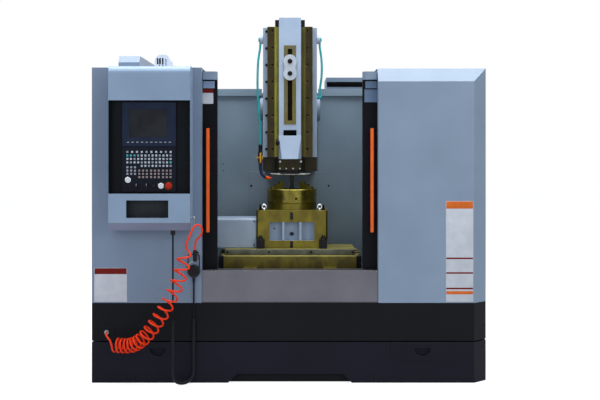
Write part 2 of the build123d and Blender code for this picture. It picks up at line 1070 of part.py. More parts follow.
def keypad():
    """Lower half of the operator unit: keys, collar, and the bores of its buttons."""
    unit = block(unit_left, unit_right, unit_front, panel_y, keypad_base, keypad_top)
    middle = (unit_left + unit_right) / 2
    pads = key_pads(
        centred(top_key_count, top_key_pitch, middle), [keypad_base + top_key_rise], key_size, key_size
    )
    rows = [keypad_base + key_block_rise + row * key_row_pitch for row in range(key_row_count)]
    columns = centred(key_column_count, key_column_pitch, middle)
    pads += key_pads(columns[:short_column_count], rows[1:], key_size, key_size)
    pads += key_pads(columns[short_column_count:], rows, key_size, key_size)
    groups = centred(group_count, group_pitch, middle)
    for group in groups:
        base = keypad_base + group_rise + (group_row_pitch if group == groups[0] else 0)
        lower = [base + row * group_row_pitch for row in range(group_row_count)]
        pads += key_pads(centred(group_row_count, group_key_pitch, group), lower, key_size, key_size)
    unit += pads
    row_z = keypad_base + button_rise
    estop_x = unit_right - estop_inset
    unit += rod((estop_x, unit_front, row_z), (estop_x, unit_front - collar_height, row_z), collar_radius)
    small_x = unit_right - small_knob_inset
    unit += rod((small_x, unit_front, row_z), (small_x, unit_front - knob_height, row_z), small_knob_radius)
    for inset, z in (
        (estop_inset, row_z),
        (start_inset, row_z),
        (stop_inset, keypad_base + stop_rise),
        (mode_inset, row_z),
        (feed_inset, row_z),
    ):
        x = unit_right - inset
        mouth = unit_front - collar_height - cut_over
        unit -= rod((x, mouth, z), (x, panel_y + cut_over, z), stem_radius + running_gap)
    return unit


def pushed_button(inset, rise, radius, height, travel, seat):
    """Push button on a round stem, standing off its seat by its travel."""
    x = unit_right - inset
    z = keypad_base + rise
    back = unit_front - seat - travel - running_gap
    cap = rod((x, back, z), (x, back - height, z), radius)
    rim = cap.edges().filter_by(GeomType.CIRCLE).group_by(Axis.Y)[0]
    cap = fillet(rim, height / 3)
    return cap + rod((x, back, z), (x, unit_front + stem_length - travel, z), stem_radius)


def turned_knob(inset):
    """Rotary knob with a raised grip across its face."""
    x = unit_right - inset
    z = keypad_base + button_rise
    back = unit_front - running_gap
    body = rod((x, back, z), (x, back - knob_height / 2, z), knob_radius)
    grip = block(
        x - knob_grip / 2,
        x + knob_grip / 2,
        back - knob_height,
        back - knob_height / 2,
        z - knob_radius,
        z + knob_radius,
    )
    grip &= rod((x, back, z), (x, back - knob_height, z), knob_radius)
    return body + grip + rod((x, back, z), (x, unit_front + stem_length, z), stem_radius)


def pendant_body():
    """Round handwheel case with its hanging bail and cable stem."""
    x = pendant_x
    z = pendant_height
    case = rod((x, front_y, z), (x, front_y - pendant_depth, z), pendant_radius)
    case = fillet(case.edges().filter_by(GeomType.CIRCLE).group_by(Axis.Y)[0], pendant_round)
    top = z + bail_height
    y = pendant_y
    frame = [
        (x - bail_half_width, y, z),
        (x - bail_half_width, y, top),
        (x + bail_half_width, y, top),
        (x + bail_half_width, y, z),
    ]
    path = FilletPolyline(*frame, radius=bail_corner)
    case += sweep(Plane(origin=path @ 0, z_dir=path % 0) * Circle(bail_radius), path=path)
    case += rod((x, y, z), (x, y, z - stem_drop), stem_top_radius, stem_end_radius)
    bore = front_y - pendant_depth
    return case - rod((x, bore - cut_over, z), (x, bore + stem_length, z), stem_radius + running_gap)


def pendant_dial():
    """Handwheel of the pendant, with its spinner."""
    x = pendant_x
    z = pendant_height
    back = front_y - pendant_depth - running_gap
    dial = rod((x, back, z), (x, back - dial_depth, z), dial_radius)
    dial += rod((x, back, z), (x, back + stem_length - running_gap, z), stem_radius)
    knob_z = z + spinner_offset
    return dial + rod(
        (x, back - dial_depth, knob_z), (x, back - dial_depth - spinner_length, knob_z), spinner_radius
    )


def pendant_route():
    """Points of the pendant cable from the gland down to the floor and up to the pendant."""
    start_x = box_right - gland_inset
    start_y = box_front + gland_setback
    return [
        (start_x, start_y, box_bottom - gland_length),
        (start_x, start_y, cable_floor),
        (pendant_x, pendant_y, cable_floor),
        (pendant_x, pendant_y, pendant_height - stem_drop),
    ]


def pendant_cable():
    """Bare ends of the pendant cable above its sleeve."""
    gland, _, _, stem = pendant_route()
    upper = rod(gland, (gland[0], gland[1], conduit_top), cable_radius)
    lower = rod((stem[0], stem[1], conduit_top), stem, cable_radius)
    return Compound(children=[upper.solid(), lower.solid()])


def pendant_conduit():
    """Corrugated sleeve round the loop of the pendant cable."""
    gland, first, second, stem = pendant_route()
    route = [(gland[0], gland[1], conduit_top), first, second, (stem[0], stem[1], conduit_top)]
    return tube(route, conduit_radius, "pendant_conduit")


def air_hose():
    """Straight ends of the air hose: from the port to the coil, and over the hook to the gun."""
    tail = tube(hose_tail_route, hose_radius, "air_hose tail")
    loop = tube(hose_loop_route, hose_radius, "air_hose loop")
    return Compound(children=[tail.solid(), loop.solid()])


def gun_top():
    """Place of the blow gun's inlet, at the end of the hose."""
    return Vector(*hose_loop_route[-1])


def blow_gun():
    """Hanging blow gun: round body, slanted nozzle and trigger ears."""
    top = gun_top()
    x, y, z = top.X, top.Y, top.Z
    body = rod((x, y, z), (x, y, z - gun_length), gun_radius)
    body = fillet(body.edges().filter_by(GeomType.CIRCLE), gun_round)
    tilt = math.radians(gun_nozzle_tilt)
    elbow = z - gun_length + gun_radius
    reach = gun_radius + gun_nozzle_length
    tip = (x - reach * math.cos(tilt), y, elbow - reach * math.sin(tilt))
    body += rod((x, y, elbow), tip, gun_nozzle_radius)
    pin_z = z - trigger_drop - gun_round
    ear = x + gun_radius + trigger_gap
    for side in (-1, 1):
        y0, y1 = sorted(
            (y + side * (trigger_width / 2 + running_gap), y + side * (trigger_width / 2 + trigger_ear))
        )
        body += block(x, ear + trigger_pin, y0, y1, pin_z - trigger_ear, pin_z + trigger_ear)
    return body


def blow_trigger():
    """Lever of the blow gun, hung on a pin between the ears."""
    top = gun_top()
    pin_z = top.Z - trigger_drop - gun_round
    x = top.X + gun_radius + trigger_gap
    half = trigger_width / 2
    lever = block(
        x - trigger_thickness / 2,
        x + trigger_thickness / 2,
        top.Y - half,
        top.Y + half,
        pin_z - trigger_length,
        pin_z,
    )
    return lever + rod((x, top.Y - half, pin_z), (x, top.Y + half, pin_z), trigger_barrel)


def bed():
    """Hollow bed casting with two ways along Y."""
    body = Part()
    for half, y0, y1 in bed_plan():
        body += block(-half, half, y0, y1, pad_height, bed_top)
    for half, y0, y1 in bed_plan():
        inner = half - bed_wall
        body -= block(
            -inner, inner, y0 + bed_wall, y1 - bed_wall, pad_height - cut_over, bed_top - bed_crown
        )
    for side in (-1, 1):
        x0, x1 = side_range(side, way_offset - way_width / 2, way_offset + way_width / 2)
        body += block(x0, x1, bed_front, bed_neck, bed_top, way_top)
    return body


def levelling_pads():
    """Round pads under the rim of the bed."""
    pads = []
    rows = [
        (bed_half, bed_front + pad_inset),
        (bed_half, bed_neck - pad_inset),
        (bed_neck_width / 2, bed_back - pad_inset),
    ]
    for half, y in rows:
        for side in (-1, 1):
            x = side * (half - pad_inset)
            pads.append(rod((x, y, 0), (x, y, pad_height), pad_radius))
    return Compound(children=[pad.solid() for pad in pads])


def saddle():
    """Cross slide on the bed ways, with two guides along X on its top."""
    half = saddle_width / 2
    body = block(-half, half, saddle_front, saddle_front + saddle_depth, saddle_base, saddle_top)
    for side in (-1, 1):
        x0, x1 = side_range(
            side, way_offset - way_width / 2 - running_gap, way_offset + way_width / 2 + running_gap
        )
        y0 = saddle_front - cut_over
        y1 = saddle_front + saddle_depth + cut_over
        body -= block(x0, x1, y0, y1, saddle_base - cut_over, way_top + running_gap)
        x0, x1 = side_range(side, half - saddle_end_width, half + cut_over)
        body -= block(
            x0, x1, y0, saddle_front + saddle_end_setback, saddle_base - cut_over, saddle_top + cut_over
        )
        y = table_middle + side * guide_spread / 2
        body += block(
            -half, half, y - guide_width / 2, y + guide_width / 2, saddle_top, saddle_top + guide_height
        )
    return body


def table():
    """Work table with three tee slots and a dog rail along its front edge."""
    half = table_width / 2
    body = block(-half, half, table_front, table_front + table_depth, table_base, table_top)
    ends = (-half - cut_over, half + cut_over)
    for row in range(3):
        y = table_middle + (row - 1) * tee_spread
        throat = table_top - tee_depth
        body -= block(*ends, y - tee_width / 2, y + tee_width / 2, throat, table_top + cut_over)
        body -= block(
            *ends, y - tee_base_width / 2, y + tee_base_width / 2, throat - tee_base_height, throat
        )
    for side in (-1, 1):
        y = table_middle + side * guide_spread / 2
        reach = guide_width / 2 + running_gap
        body -= block(
            *ends, y - reach, y + reach, table_base - cut_over, saddle_top + guide_height + running_gap
        )
    middle = (table_base + table_top) / 2
    body += block(
        -half,
        half,
        table_front - dog_rail_depth,
        table_front,
        middle - dog_rail_height / 2,
        middle + dog_rail_height / 2,
    )
    return body


def rotary_base():
    """Housing of the rotary unit, with a ribbed window and clamp notches."""
    x0 = rotary_x - base_width / 2
    x1 = rotary_x + base_width / 2
    y1 = base_front + base_depth
    body = block(x0, x1, base_front, y1, table_top, base_top)
    body = chamfer(body.edges().filter_by(Axis.Z), base_edge)
    notch = table_top + foot_notch_height
    for a, b in ((x0 - cut_over, x0 + foot_notch_width), (x1 - foot_notch_width, x1 + cut_over)):
        body -= block(
            a, b, base_front - cut_over, base_front + foot_notch_depth, table_top - cut_over, notch
        )
    w0 = table_top + base_window_rise
    marks = [-base_window_width / 2, -base_rib_offset, base_rib_offset, base_window_width / 2]
    back = base_front + base_window_depth
    for index in range(3):
        a = rotary_x + marks[index] + (base_rib / 2 if index else 0)
        b = rotary_x + marks[index + 1] - (base_rib / 2 if index < 2 else 0)
        body -= block(a, b, base_front - cut_over, back, w0, w0 + base_window_height)
    plug_z = w0 + base_window_height / 3
    return body + rod(
        (rotary_x, back, plug_z), (rotary_x, back - base_plug_radius, plug_z), base_plug_radius
    )


def rotary_plate():
    """Turning plate of the rotary unit, grooved round its rim."""
    base = (Align.CENTER, Align.CENTER, Align.MIN)
    body = Pos(rotary_x, rotary_y, plate_base) * Cylinder(plate_radius, plate_height, align=base)
    for rise in plate_groove_rises:
        ring = Cylinder(plate_radius + cut_over, plate_groove, align=base) - Cylinder(
            plate_radius - plate_groove, plate_groove, align=base
        )
        body -= Pos(rotary_x, rotary_y, plate_base + rise) * ring
    return body


def chuck_body():
    """Three-jaw chuck with radial jaw ways, a bore and a key socket."""
    base = (Align.CENTER, Align.CENTER, Align.MIN)
    body = Cylinder(chuck_radius, chuck_height, align=base)
    body = chamfer(body.edges().filter_by(GeomType.CIRCLE), chuck_edge)
    body -= Cylinder(chuck_bore, chuck_height + cut_over, align=base)
    floor = chuck_height - jaw_tongue - running_gap
    reach = jaw_width / 2 + running_gap
    for angle in jaw_angles:
        body -= Rot(0, 0, angle) * block(
            0, chuck_radius + cut_over, -reach, reach, floor, chuck_height + cut_over
        )
    key_z = chuck_height - chuck_key_drop
    half = chuck_key / 2
    socket = block(
        -half, half, -chuck_radius - cut_over, -chuck_radius + chuck_key_depth, key_z - half, key_z + half
    )
    body -= Rot(0, 0, chuck_key_angle) * socket
    return Pos(rotary_x, rotary_y, chuck_base) * body


def jaw(angle):
    """Stepped chuck jaw in its radial way."""
    step = jaw_length / jaw_steps
    rise = jaw_height / jaw_steps
    outline = [(jaw_inner, -jaw_tongue), (jaw_inner + jaw_length, -jaw_tongue)]
    for index in range(jaw_steps):
        radius = jaw_inner + jaw_length - index * step
        outline.append((radius, (index + 1) * rise))
        outline.append((radius - step, (index + 1) * rise))
    body = prism(outline, "y", -jaw_width / 2, jaw_width / 2)
    return Pos(rotary_x, rotary_y, chuck_top) * Rot(0, 0, angle) * body


def clamp_bolts():
    """Clamp sets that hold the rotary unit's front feet to the table."""
    sets = []
    for side in (-1, 1):
        x = rotary_x + side * (base_width - foot_notch_width) / 2
        y0 = base_front - clamp_front
        z0 = table_top
        z1 = z0 + foot_notch_height
        foot = block(x - clamp_width / 2, x + clamp_width / 2, y0, y0 + clamp_depth, z0, z1)
        foot += block(
            x - foot_notch_width / 2,
            x + foot_notch_width / 2,
            y0,
            base_front - fit_gap,
            z1,
            z1 + clamp_plate_height,
        )
        stud_y = y0 + clamp_front / 2
        seat = z1 + clamp_plate_height
        nut = Pos(x, stud_y, seat) * extrude(RegularPolygon(clamp_nut_radius, 6), clamp_nut_height)
        foot += nut
        foot += rod((x, stud_y, seat), (x, stud_y, seat + clamp_stud_height), clamp_stud_radius)
        sets.append(foot)
    return Compound(children=[foot.solid() for foot in sets])


def eyebolts():
    """Two lifting eyes on the top of the rotary unit's housing."""
    eyes = []
    for side in (-1, 1):
        x = rotary_x + side * (base_width / 2 - eye_inset)
        y = base_front + eye_setback
        collar_top = base_top + eye_collar_height
        eye = rod((x, y, base_top), (x, y, collar_top), eye_collar_radius)
        ring = Pos(x, y, collar_top + eye_ring_radius) * Rot(90, 0, 0) * Torus(
            eye_ring_radius, eye_wire_radius
        )
        eyes.append(eye + ring)
    return Compound(children=[eye.solid() for eye in eyes])


def motor_cover():
    """Sheet cover over the rotary unit's motor, on the housing's left side."""
    x1 = rotary_x - base_width / 2
    y0 = base_front + motor_cover_setback
    z0 = table_top + motor_cover_rise
    cover = block(x1 - motor_cover_width, x1, y0, y0 + motor_cover_depth, z0, z0 + motor_cover_height)
    top = cover.faces().sort_by(Axis.Z)[-1]
    upper = top.edges().sort_by(Axis.X)[:-1]
    corners = cover.edges().filter_by(Axis.Z).group_by(Axis.X)[0]
    return fillet(upper + corners, motor_cover_round)


def column():
    """Column casting, narrowed towards its top, with the crank shaft's bore."""
    z0 = bed_top
    low = column_width / 2
    high = column_top_width / 2
    shoulder = z0 + column_shoulder
    neck = shoulder + column_taper
    top = z0 + column_height
    half = [(low, z0), (low, shoulder), (high, neck), (high, top)]
    outline = half + [(-x, z) for x, z in reversed(half)]
    body = prism(outline, "y", column_front, column_front + column_depth)
    bore = shaft_radius + running_gap
    return body - rod(
        (0, column_front - cut_over, crank_z), (0, column_front + column_depth + cut_over, crank_z), bore
    )


def slotting_head():
    """Hollow head casting with the ram channel down its front."""
    body = block(-head_half, head_half, head_front, column_front, head_base, head_top)
    reach = ram_flange_width / 2 + running_gap
    body -= block(
        -reach, reach, head_front - cut_over, channel_back, head_base - cut_over, head_top + cut_over
    )
    inner = head_half - head_wall
    body -= block(
        -inner, inner, cavity_front, column_front + cut_over, head_base + head_wall, head_top + cut_over
    )
    slot = link_pin_radius + pin_gap
    body -= block(
        -slot, slot, channel_back - cut_over, cavity_front + cut_over, link_z - slot, head_top + cut_over
    )
    side_reach = head_half + cut_over
    apron_top = head_base + apron_height
    apron_back = head_front + apron_step
    body -= block(
        -side_reach, side_reach, head_front - cut_over, apron_back, head_base - cut_over, apron_top
    )
    for side in (-1, 1):
        body += side_cover(side)
    return body


def side_cover(side):
    """Round cover on one side of the head, bevelled round its rim."""
    y = head_front + side_cover_setback
    z = head_base + side_cover_rise
    near = side * head_half
    rim = side * (head_half + side_cover_proud - side_cover_edge)
    face = side * (head_half + side_cover_proud)
    cover = rod((near, y, z), (rim, y, z), side_cover_radius)
    return cover + rod((rim, y, z), (face, y, z), side_cover_radius, side_cover_radius - side_cover_edge)


def gib_strips():
    """Two bevelled strips that hold the ram's flanges, with counterbores for their screws."""
    strips = []
    z0 = head_base + gib_base
    face = head_front - gib_depth
    inner = ram_width / 2 + fit_gap
    outer = inner + gib_width
    for side in (-1, 1):
        outline = [
            (side * inner, head_front),
            (side * outer, head_front),
            (side * outer, face),
            (side * (inner + gib_bevel_width), face),
            (side * inner, face + gib_bevel_depth),
        ]
        strip = prism(outline, "z", z0, z0 + gib_length)
        x = side * (inner + gib_bevel_width + screw_inset)
        for row in range(screw_rows):
            z = z0 + gib_length - screw_top - row * screw_pitch
            strip -= rod((x, face - cut_over, z), (x, face + screw_depth, z), screw_radius)
        strips.append(strip)
    return Compound(children=[strip.solid() for strip in strips])


def ram():
    """Ram with side flanges, slotted front plate, window and sloping nose."""
    half = ram_width / 2
    wide = ram_flange_width / 2
    top = ram_bottom + ram_length
    body = block(-half, half, ram_front, ram_back, ram_bottom, top)
    body += block(-wide, wide, flange_front, ram_back, ram_bottom, top - ram_shoulder)
    plate = slot_plate_width / 2
    p0 = ram_bottom + slot_plate_base
    body += block(-plate, plate, ram_front - slot_plate_proud, ram_front, p0, p0 + slot_plate_height)
    s0 = p0 + (slot_plate_height - slot_height) / 2
    slot = slot_width / 2
    body -= block(
        -slot, slot, ram_front - slot_plate_proud - cut_over, ram_back + cut_over, s0, s0 + slot_height
    )
    w0 = ram_bottom + ram_window_base
    window = ram_window_width / 2
    body -= block(
        -window, window, ram_front - cut_over, ram_front + ram_window_depth, w0, w0 + ram_window_height
    )
    wide_face = nose_width / 2
    slim_face = wide_face - nose_taper
    nose_top = Face(
        Wire.make_polygon(nose_outline(wide_face, slot_plate_proud, ram_bottom + nose_height), close=True)
    )
    nose_foot = Face(Wire.make_polygon(nose_outline(slim_face, nose_reach, ram_bottom), close=True))
    return body + loft([nose_foot, nose_top], ruled=True)


def nose_outline(face_half, reach, z):
    """Cross-section of the ram's nose at one height."""
    back = nose_width / 2
    front = ram_front - reach
    return [
        Vector(-back, ram_front, z),
        Vector(back, ram_front, z),
        Vector(face_half, front, z),
        Vector(-face_half, front, z),
    ]


def ram_link():
    """Clamp of the stroke setting, with its two bolts and the connecting rod's pin."""
    back = ram_front - slot_plate_proud
    front = back - link_thickness
    face = Plane(origin=(0, back, link_z), x_dir=(1, 0, 0), z_dir=(0, -1, 0))
    spread = (link_height - link_width) / 2
    outline = Rectangle(link_waist, 2 * spread)
    for side in (-1, 1):
        outline += Pos(0, side * spread) * Circle(link_width / 2)
    plate = face * extrude(outline, link_thickness)
    for side in (-1, 1):
        z = link_z + side * link_bolt_spacing / 2
        plate += rod((0, front, z), (0, front - link_bolt_height, z), link_bolt_radius)
    return plate + rod((0, back, link_z), (0, rod_front + rod_thickness, link_z), link_pin_radius)


def tool_head():
    """Tool plate under the ram, tool block and clamp bar."""
    half = ram_width / 2
    front = ram_front - tool_plate_front
    plate_base_z = ram_bottom - tool_plate_height
    body = block(-half, half, front, front + tool_plate_depth, plate_base_z, ram_bottom)
    x0 = rotary_x - tool_block_width / 2
    y0 = rotary_y - tool_block_depth / 2
    body += block(x0, x0 + tool_block_width, y0, y0 + tool_block_depth, tool_top, plate_base_z)
    bar_z = tool_top + bar_rise
    return body + rod((-bar_left, y0, bar_z), (bar_right, y0, bar_z), bar_radius)


def slotting_tool():
    """Square tool bar with a relieved cutting end."""
    x0 = rotary_x - tool_width / 2
    y0 = rotary_y - tool_depth / 2
    bar = block(x0, x0 + tool_width, y0, y0 + tool_depth, tool_top - tool_length, tool_top)
    heel = bar.edges().filter_by(Axis.X).group_by(Axis.Z)[0].sort_by(Axis.Y)[-1]
    return chamfer(heel, tool_tip)


def crank_disc():
    """Crank disc with its pin and the shaft through the column."""
    back = disc_front + crank_disc_thickness
    body = rod((0, disc_front, crank_z), (0, back, crank_z), crank_disc_radius)
    body += rod((0, back, crank_z), (0, column_front + column_depth, crank_z), shaft_radius)
    pin_z = crank_z - ram_stroke / 2
    return body + rod(
        (0, rod_front + rod_thickness + running_gap, pin_z), (0, disc_front, pin_z), crank_pin_radius
    )


def connecting_rod():
    """Rod from the ram's link pin down to the crank pin."""
    y0 = rod_front
    y1 = y0 + rod_thickness
    foot = link_z - rod_length
    half = rod_width / 2
    body = block(-half, half, y0, y1, foot, link_z)
    body += rod((0, y0, link_z), (0, y1, link_z), rod_eye_radius)
    body += rod((0, y0, foot), (0, y1, foot), rod_eye_radius)
    return body - rod((0, y0 - cut_over, link_z), (0, y1 + cut_over, link_z), link_pin_radius + running_gap)


def main_motor():
    """Gear unit and finned motor on the back of the column."""
    y0 = column_front + column_depth
    y1 = y0 + gearbox_depth
    half = gearbox_width / 2
    body = block(-half, half, y0, y1, crank_z - gearbox_height / 2, crank_z + gearbox_height / 2)
    body = chamfer(body.edges().filter_by(Axis.Y), base_edge)
    body += rod((0, y1, crank_z), (0, y1 + motor_length, crank_z), motor_radius)
    for index in range(motor_fin_count):
        angle = 360 * index / motor_fin_count
        fin = block(
            0,
            motor_radius + motor_fin_height,
            y1,
            y1 + motor_length,
            -motor_fin_width / 2,
            motor_fin_width / 2,
        )
        body += Pos(0, 0, crank_z) * Rot(0, angle, 0) * fin
    return body


def pipe_place(side):
    """Foot of a lubrication elbow on one side of the head."""
    x = side * (head_half + elbow_length - elbow_radius)
    return x, head_front + elbow_setback, head_top - elbow_drop - elbow_radius


def valve_place():
    """Axis and foot of the coolant valve on the head's left side."""
    x, y, _ = pipe_place(-1)
    return x, y, head_base + valve_base


left_pipe_shares = ((0.0, 0.06), (0.22, 0.18), (0.3, 0.38), (0.22, 0.62), (0.0, 0.82))
right_pipe_shares = ((0.0, 0.1), (0.22, 0.36), (0.22, 0.64), (0.0, 0.9))


def lube_pipes():
    """Two pipes that leave elbows near the top of the head and run down its sides."""
    pipes = []
    connector_top = valve_place()[2] + valve_height + connector_height
    for side, shares in ((-1, left_pipe_shares), (1, right_pipe_shares)):
        x, y, z = pipe_place(side)
        end_z = connector_top if side < 0 else z - right_pipe_length
        bends = [(x + side * out * pipe_bow, y, z - down * (z - end_z)) for out, down in shares]
        body = tube([(x, y, z), *bends, (x, y, end_z)], pipe_radius, "lube_pipe")
        outer = side * (head_half + elbow_length)
        elbows = [z + elbow_radius] if side < 0 else [z + elbow_radius, end_z - elbow_radius]
        for elbow_z in elbows:
            body += rod((side * head_half, y, elbow_z), (outer, y, elbow_z), elbow_radius)
        boss = side * (head_half + boss_length)
        body += rod((side * head_half, y, z + elbow_radius), (boss, y, z + elbow_radius), boss_radius)
        body += rod((x, y, z), (x, y, z + elbow_radius), elbow_radius)
        if side > 0:
            body += rod((x, y, end_z - elbow_radius), (x, y, end_z), elbow_radius)
        pipes.append(body)
    return Compound(children=[pipe.solid() for pipe in pipes])


def coolant_valve():
    """Coolant valve and its connector, on a bracket at the head's left side."""
    x, y, z = valve_place()
    top = z + valve_height
    body = rod((x, y, z), (x, y, top), valve_radius)
    body += rod((x, y, top), (x, y, top + connector_height), connector_radius)
    middle = z + valve_height / 2
    body += block(
        x,
        -head_half,
        y - bracket_width / 2,
        y + bracket_width / 2,
        middle - bracket_height / 2,
        middle + bracket_height / 2,
    )
    return body


def valve_lever():
    """Lever of the coolant valve, on a hub in front of it."""
    x, y, z = valve_place()
    middle = z + valve_height / 2
    hub_y = y - valve_radius - running_gap
    hub = rod((x, hub_y, middle), (x, hub_y - lever_hub, middle), lever_hub)
    plate_y = hub_y - lever_hub
    half = lever_width / 2
    return hub + block(
        x - lever_length, x, plate_y, plate_y + lever_thickness, middle - half, middle + half
    )


coolant_shares = ((0.0, 0.0, 0.0), (0.0, 0.0, 0.42), (0.1, -0.16, 0.78), (0.5, -0.5, 1.0))


def coolant_hose():
    """Jointed coolant hose and its nozzle, turned in above the chuck."""
    x, y, z = valve_place()
    low = chuck_top + jaw_height + 2 * coolant_radius
    reach = head_half / 2
    route = [(x + a * reach, y + b * reach, z - c * (z - low)) for a, b, c in coolant_shares]
    body = tube(route, coolant_radius, "coolant_hose")
    last = Vector(*route[-1])
    run = last - Vector(*route[-2])
    tip = last + Vector(run.X, run.Y, 0).normalized() * nozzle_length
    return body + Pos(*route[-1]) * Sphere(coolant_radius) + rod(
        route[-1], tuple(tip), coolant_radius, nozzle_end_radius
    )


left_door, left_window, left_handle = door_set(-1)
right_door, right_window, right_handle = door_set(1)

nodes = {
    "plinth": plinth(),
    "chip_pan": chip_pan(),
    "tray_covers": tray_covers(),
    "left_shell": left_shell(),
    "right_shell": right_shell(),
    "front_sill": front_sill(),
    "rear_wall": rear_wall(),
    "roof_duct": roof_duct(),
    "electrical_cabinet": electrical_cabinet(),
    "electrical_door": electrical_door(),
    "left_door": left_door,
    "left_window": left_window,
    "left_handle": left_handle,
    "right_door": right_door,
    "right_window": right_window,
    "right_handle": right_handle,
    "control_box": control_box(),
    "display_unit": display_unit(),
    "display_glass": display_glass(),
    "keypad": keypad(),
    "estop_button": pushed_button(
        estop_inset, button_rise, estop_radius, estop_height, estop_travel, collar_height
    ),
    "start_button": pushed_button(start_inset, button_rise, push_radius, push_height, push_travel, 0),
    "stop_button": pushed_button(stop_inset, stop_rise, push_radius, push_height, push_travel, 0),
    "mode_knob": turned_knob(mode_inset),
    "feed_knob": turned_knob(feed_inset),
    "pendant_body": pendant_body(),
    "pendant_dial": pendant_dial(),
    "pendant_cable": pendant_cable(),
    "pendant_conduit": pendant_conduit(),
    "air_hose": air_hose(),
    "air_hose_coil": tube(coil_route, coil_radius, "air_hose_coil"),
    "blow_gun": blow_gun(),
    "blow_trigger": blow_trigger(),
    "bed": bed(),
    "levelling_pads": levelling_pads(),
    "saddle": saddle(),
    "table": table(),
    "rotary_base": rotary_base(),
    "rotary_plate": rotary_plate(),
    "chuck_body": chuck_body(),
    "jaw_1": jaw(jaw_angles[0]),
    "jaw_2": jaw(jaw_angles[1]),
    "jaw_3": jaw(jaw_angles[2]),
    "clamp_bolts": clamp_bolts(),
    "eyebolts": eyebolts(),
    "motor_cover": motor_cover(),
    "column": column(),
    "slotting_head": slotting_head(),
    "gib_strips": gib_strips(),
    "ram": ram(),
    "ram_link": ram_link(),
    "tool_head": tool_head(),
    "slotting_tool": slotting_tool(),
    "crank_disc": crank_disc(),
    "connecting_rod": connecting_rod(),
    "main_motor": main_motor(),
    "lube_pipes": lube_pipes(),
    "coolant_valve": coolant_valve(),
    "valve_lever": valve_lever(),
    "coolant_hose": coolant_hose(),
}

for name, body in nodes.items():
    export_step(body, f"parts/{name}.step")
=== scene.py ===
"""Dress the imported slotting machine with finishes, fittings and cords, under plain studio light."""

import logging
import math
from dataclasses import dataclass, field
from enum import Enum
from itertools import cycle, pairwise
from typing import Any, Iterable, Sequence

import bpy
from mathutils import Matrix, Quaternion, Vector


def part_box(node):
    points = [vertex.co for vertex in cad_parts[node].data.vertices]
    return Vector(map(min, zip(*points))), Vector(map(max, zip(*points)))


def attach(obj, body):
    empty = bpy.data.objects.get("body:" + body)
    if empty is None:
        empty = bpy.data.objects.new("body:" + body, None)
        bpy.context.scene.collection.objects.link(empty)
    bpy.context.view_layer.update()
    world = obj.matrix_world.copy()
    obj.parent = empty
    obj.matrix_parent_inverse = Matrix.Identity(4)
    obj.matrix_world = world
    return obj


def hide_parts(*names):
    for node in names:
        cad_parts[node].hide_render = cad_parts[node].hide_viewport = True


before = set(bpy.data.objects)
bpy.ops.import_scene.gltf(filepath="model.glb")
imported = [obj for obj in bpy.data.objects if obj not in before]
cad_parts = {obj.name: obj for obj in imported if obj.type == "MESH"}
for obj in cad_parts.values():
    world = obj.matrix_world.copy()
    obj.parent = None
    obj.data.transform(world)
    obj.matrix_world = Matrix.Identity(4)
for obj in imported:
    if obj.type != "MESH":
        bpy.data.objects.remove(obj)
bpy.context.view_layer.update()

LOG = logging.getLogger("slotting_machine")
MM = 0.001

Point = tuple[float, float, float]
Span = tuple[float, float]
Ring = tuple[float, float]
Step = tuple[float, Vector, Vector]
Hoop = tuple[Vector, Vector, float]
Area = tuple[Span, Span]
Grid = tuple[tuple[float, ...], tuple[float, ...]]
Tree = bpy.types.NodeTree
Socket = bpy.types.NodeSocket
Piece = bpy.types.Object

EVERYWHERE: Span = (-math.inf, math.inf)
ORIGIN: Point = (0.0, 0.0, 0.0)
FRONT: Point = (0.0, -1.0, 0.0)
LEFTWARD: Point = (-1.0, 0.0, 0.0)
RIGHTWARD: Point = (1.0, 0.0, 0.0)
UPWARD: Point = (0.0, 0.0, 1.0)
SLACK = 0.5
WHITE_LIGHT = "#ffffff"

# Shader ranges: where a noise or an edge starts and ends to count, and how much it then does.
PATCH_RANGE: Span = (0.36, 0.64)
GRAIN_RANGE: Span = (0.3, 0.7)
FILM_RANGE: Span = (0.42, 0.66)
EDGE_RANGE: Span = (0.985, 0.86)
EDGE_SHARE = 0.55
SPECK_TOP = 0.74
SPECK_DROP = 0.2
SPECK_BLUR = 0.1
SPECK_SHARE = 0.7
ROUGH_SWING = 0.14
COAT_ROUGHNESS = 0.14
SUBSURFACE_M = 0.004
BUMP_STRENGTH = 0.6
LAY_STRETCH = 0.03
FILM_STRETCH = 0.35


class Lay(Enum):
    """Direction in which tool marks or brush lines run."""

    NONE = None
    X = 0
    Y = 1
    Z = 2


class Side(Enum):
    """Operator's left or right, as the sign of X."""

    LEFT = -1
    RIGHT = 1

    @property
    def word(self) -> str:
        """Name used in node and body names."""
        return self.name.lower()


@dataclass(frozen=True)
class Extent:
    """Box of a CAD node at rest, in millimetres."""

    low: Vector
    high: Vector

    @classmethod
    def of(cls, node: str) -> "Extent":
        """Measure a CAD node."""
        low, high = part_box(node)
        return cls(low / MM, high / MM)

    @property
    def middle(self) -> Vector:
        """Middle of the box."""
        return (self.low + self.high) / 2


def linear(hex_colour: str) -> tuple[float, float, float, float]:
    """Turn an sRGB hex colour into linear RGBA.

    Args:
        hex_colour: Colour as "#rrggbb".

    Returns:
        Linear red, green, blue and an alpha of 1.
    """
    parts = [int(hex_colour[i:i + 2], 16) / 255 for i in (1, 3, 5)]
    red, green, blue = (c / 12.92 if c <= 0.04045 else ((c + 0.055) / 1.055) ** 2.4 for c in parts)
    return red, green, blue, 1.0


def smooth(share: float) -> float:
    """Ease a share from 0 to 1, level at both ends."""
    held = min(1.0, max(0.0, share))
    return held * held * (3 - 2 * held)


def shifted(span: Span, by: float) -> Span:
    """Return a span moved along by a distance."""
    return span[0] + by, span[1] + by


def spread(count: int, pitch: float, middle: float) -> list[float]:
    """Return evenly spaced places about a middle."""
    return [middle + (i - (count - 1) / 2) * pitch for i in range(count)]


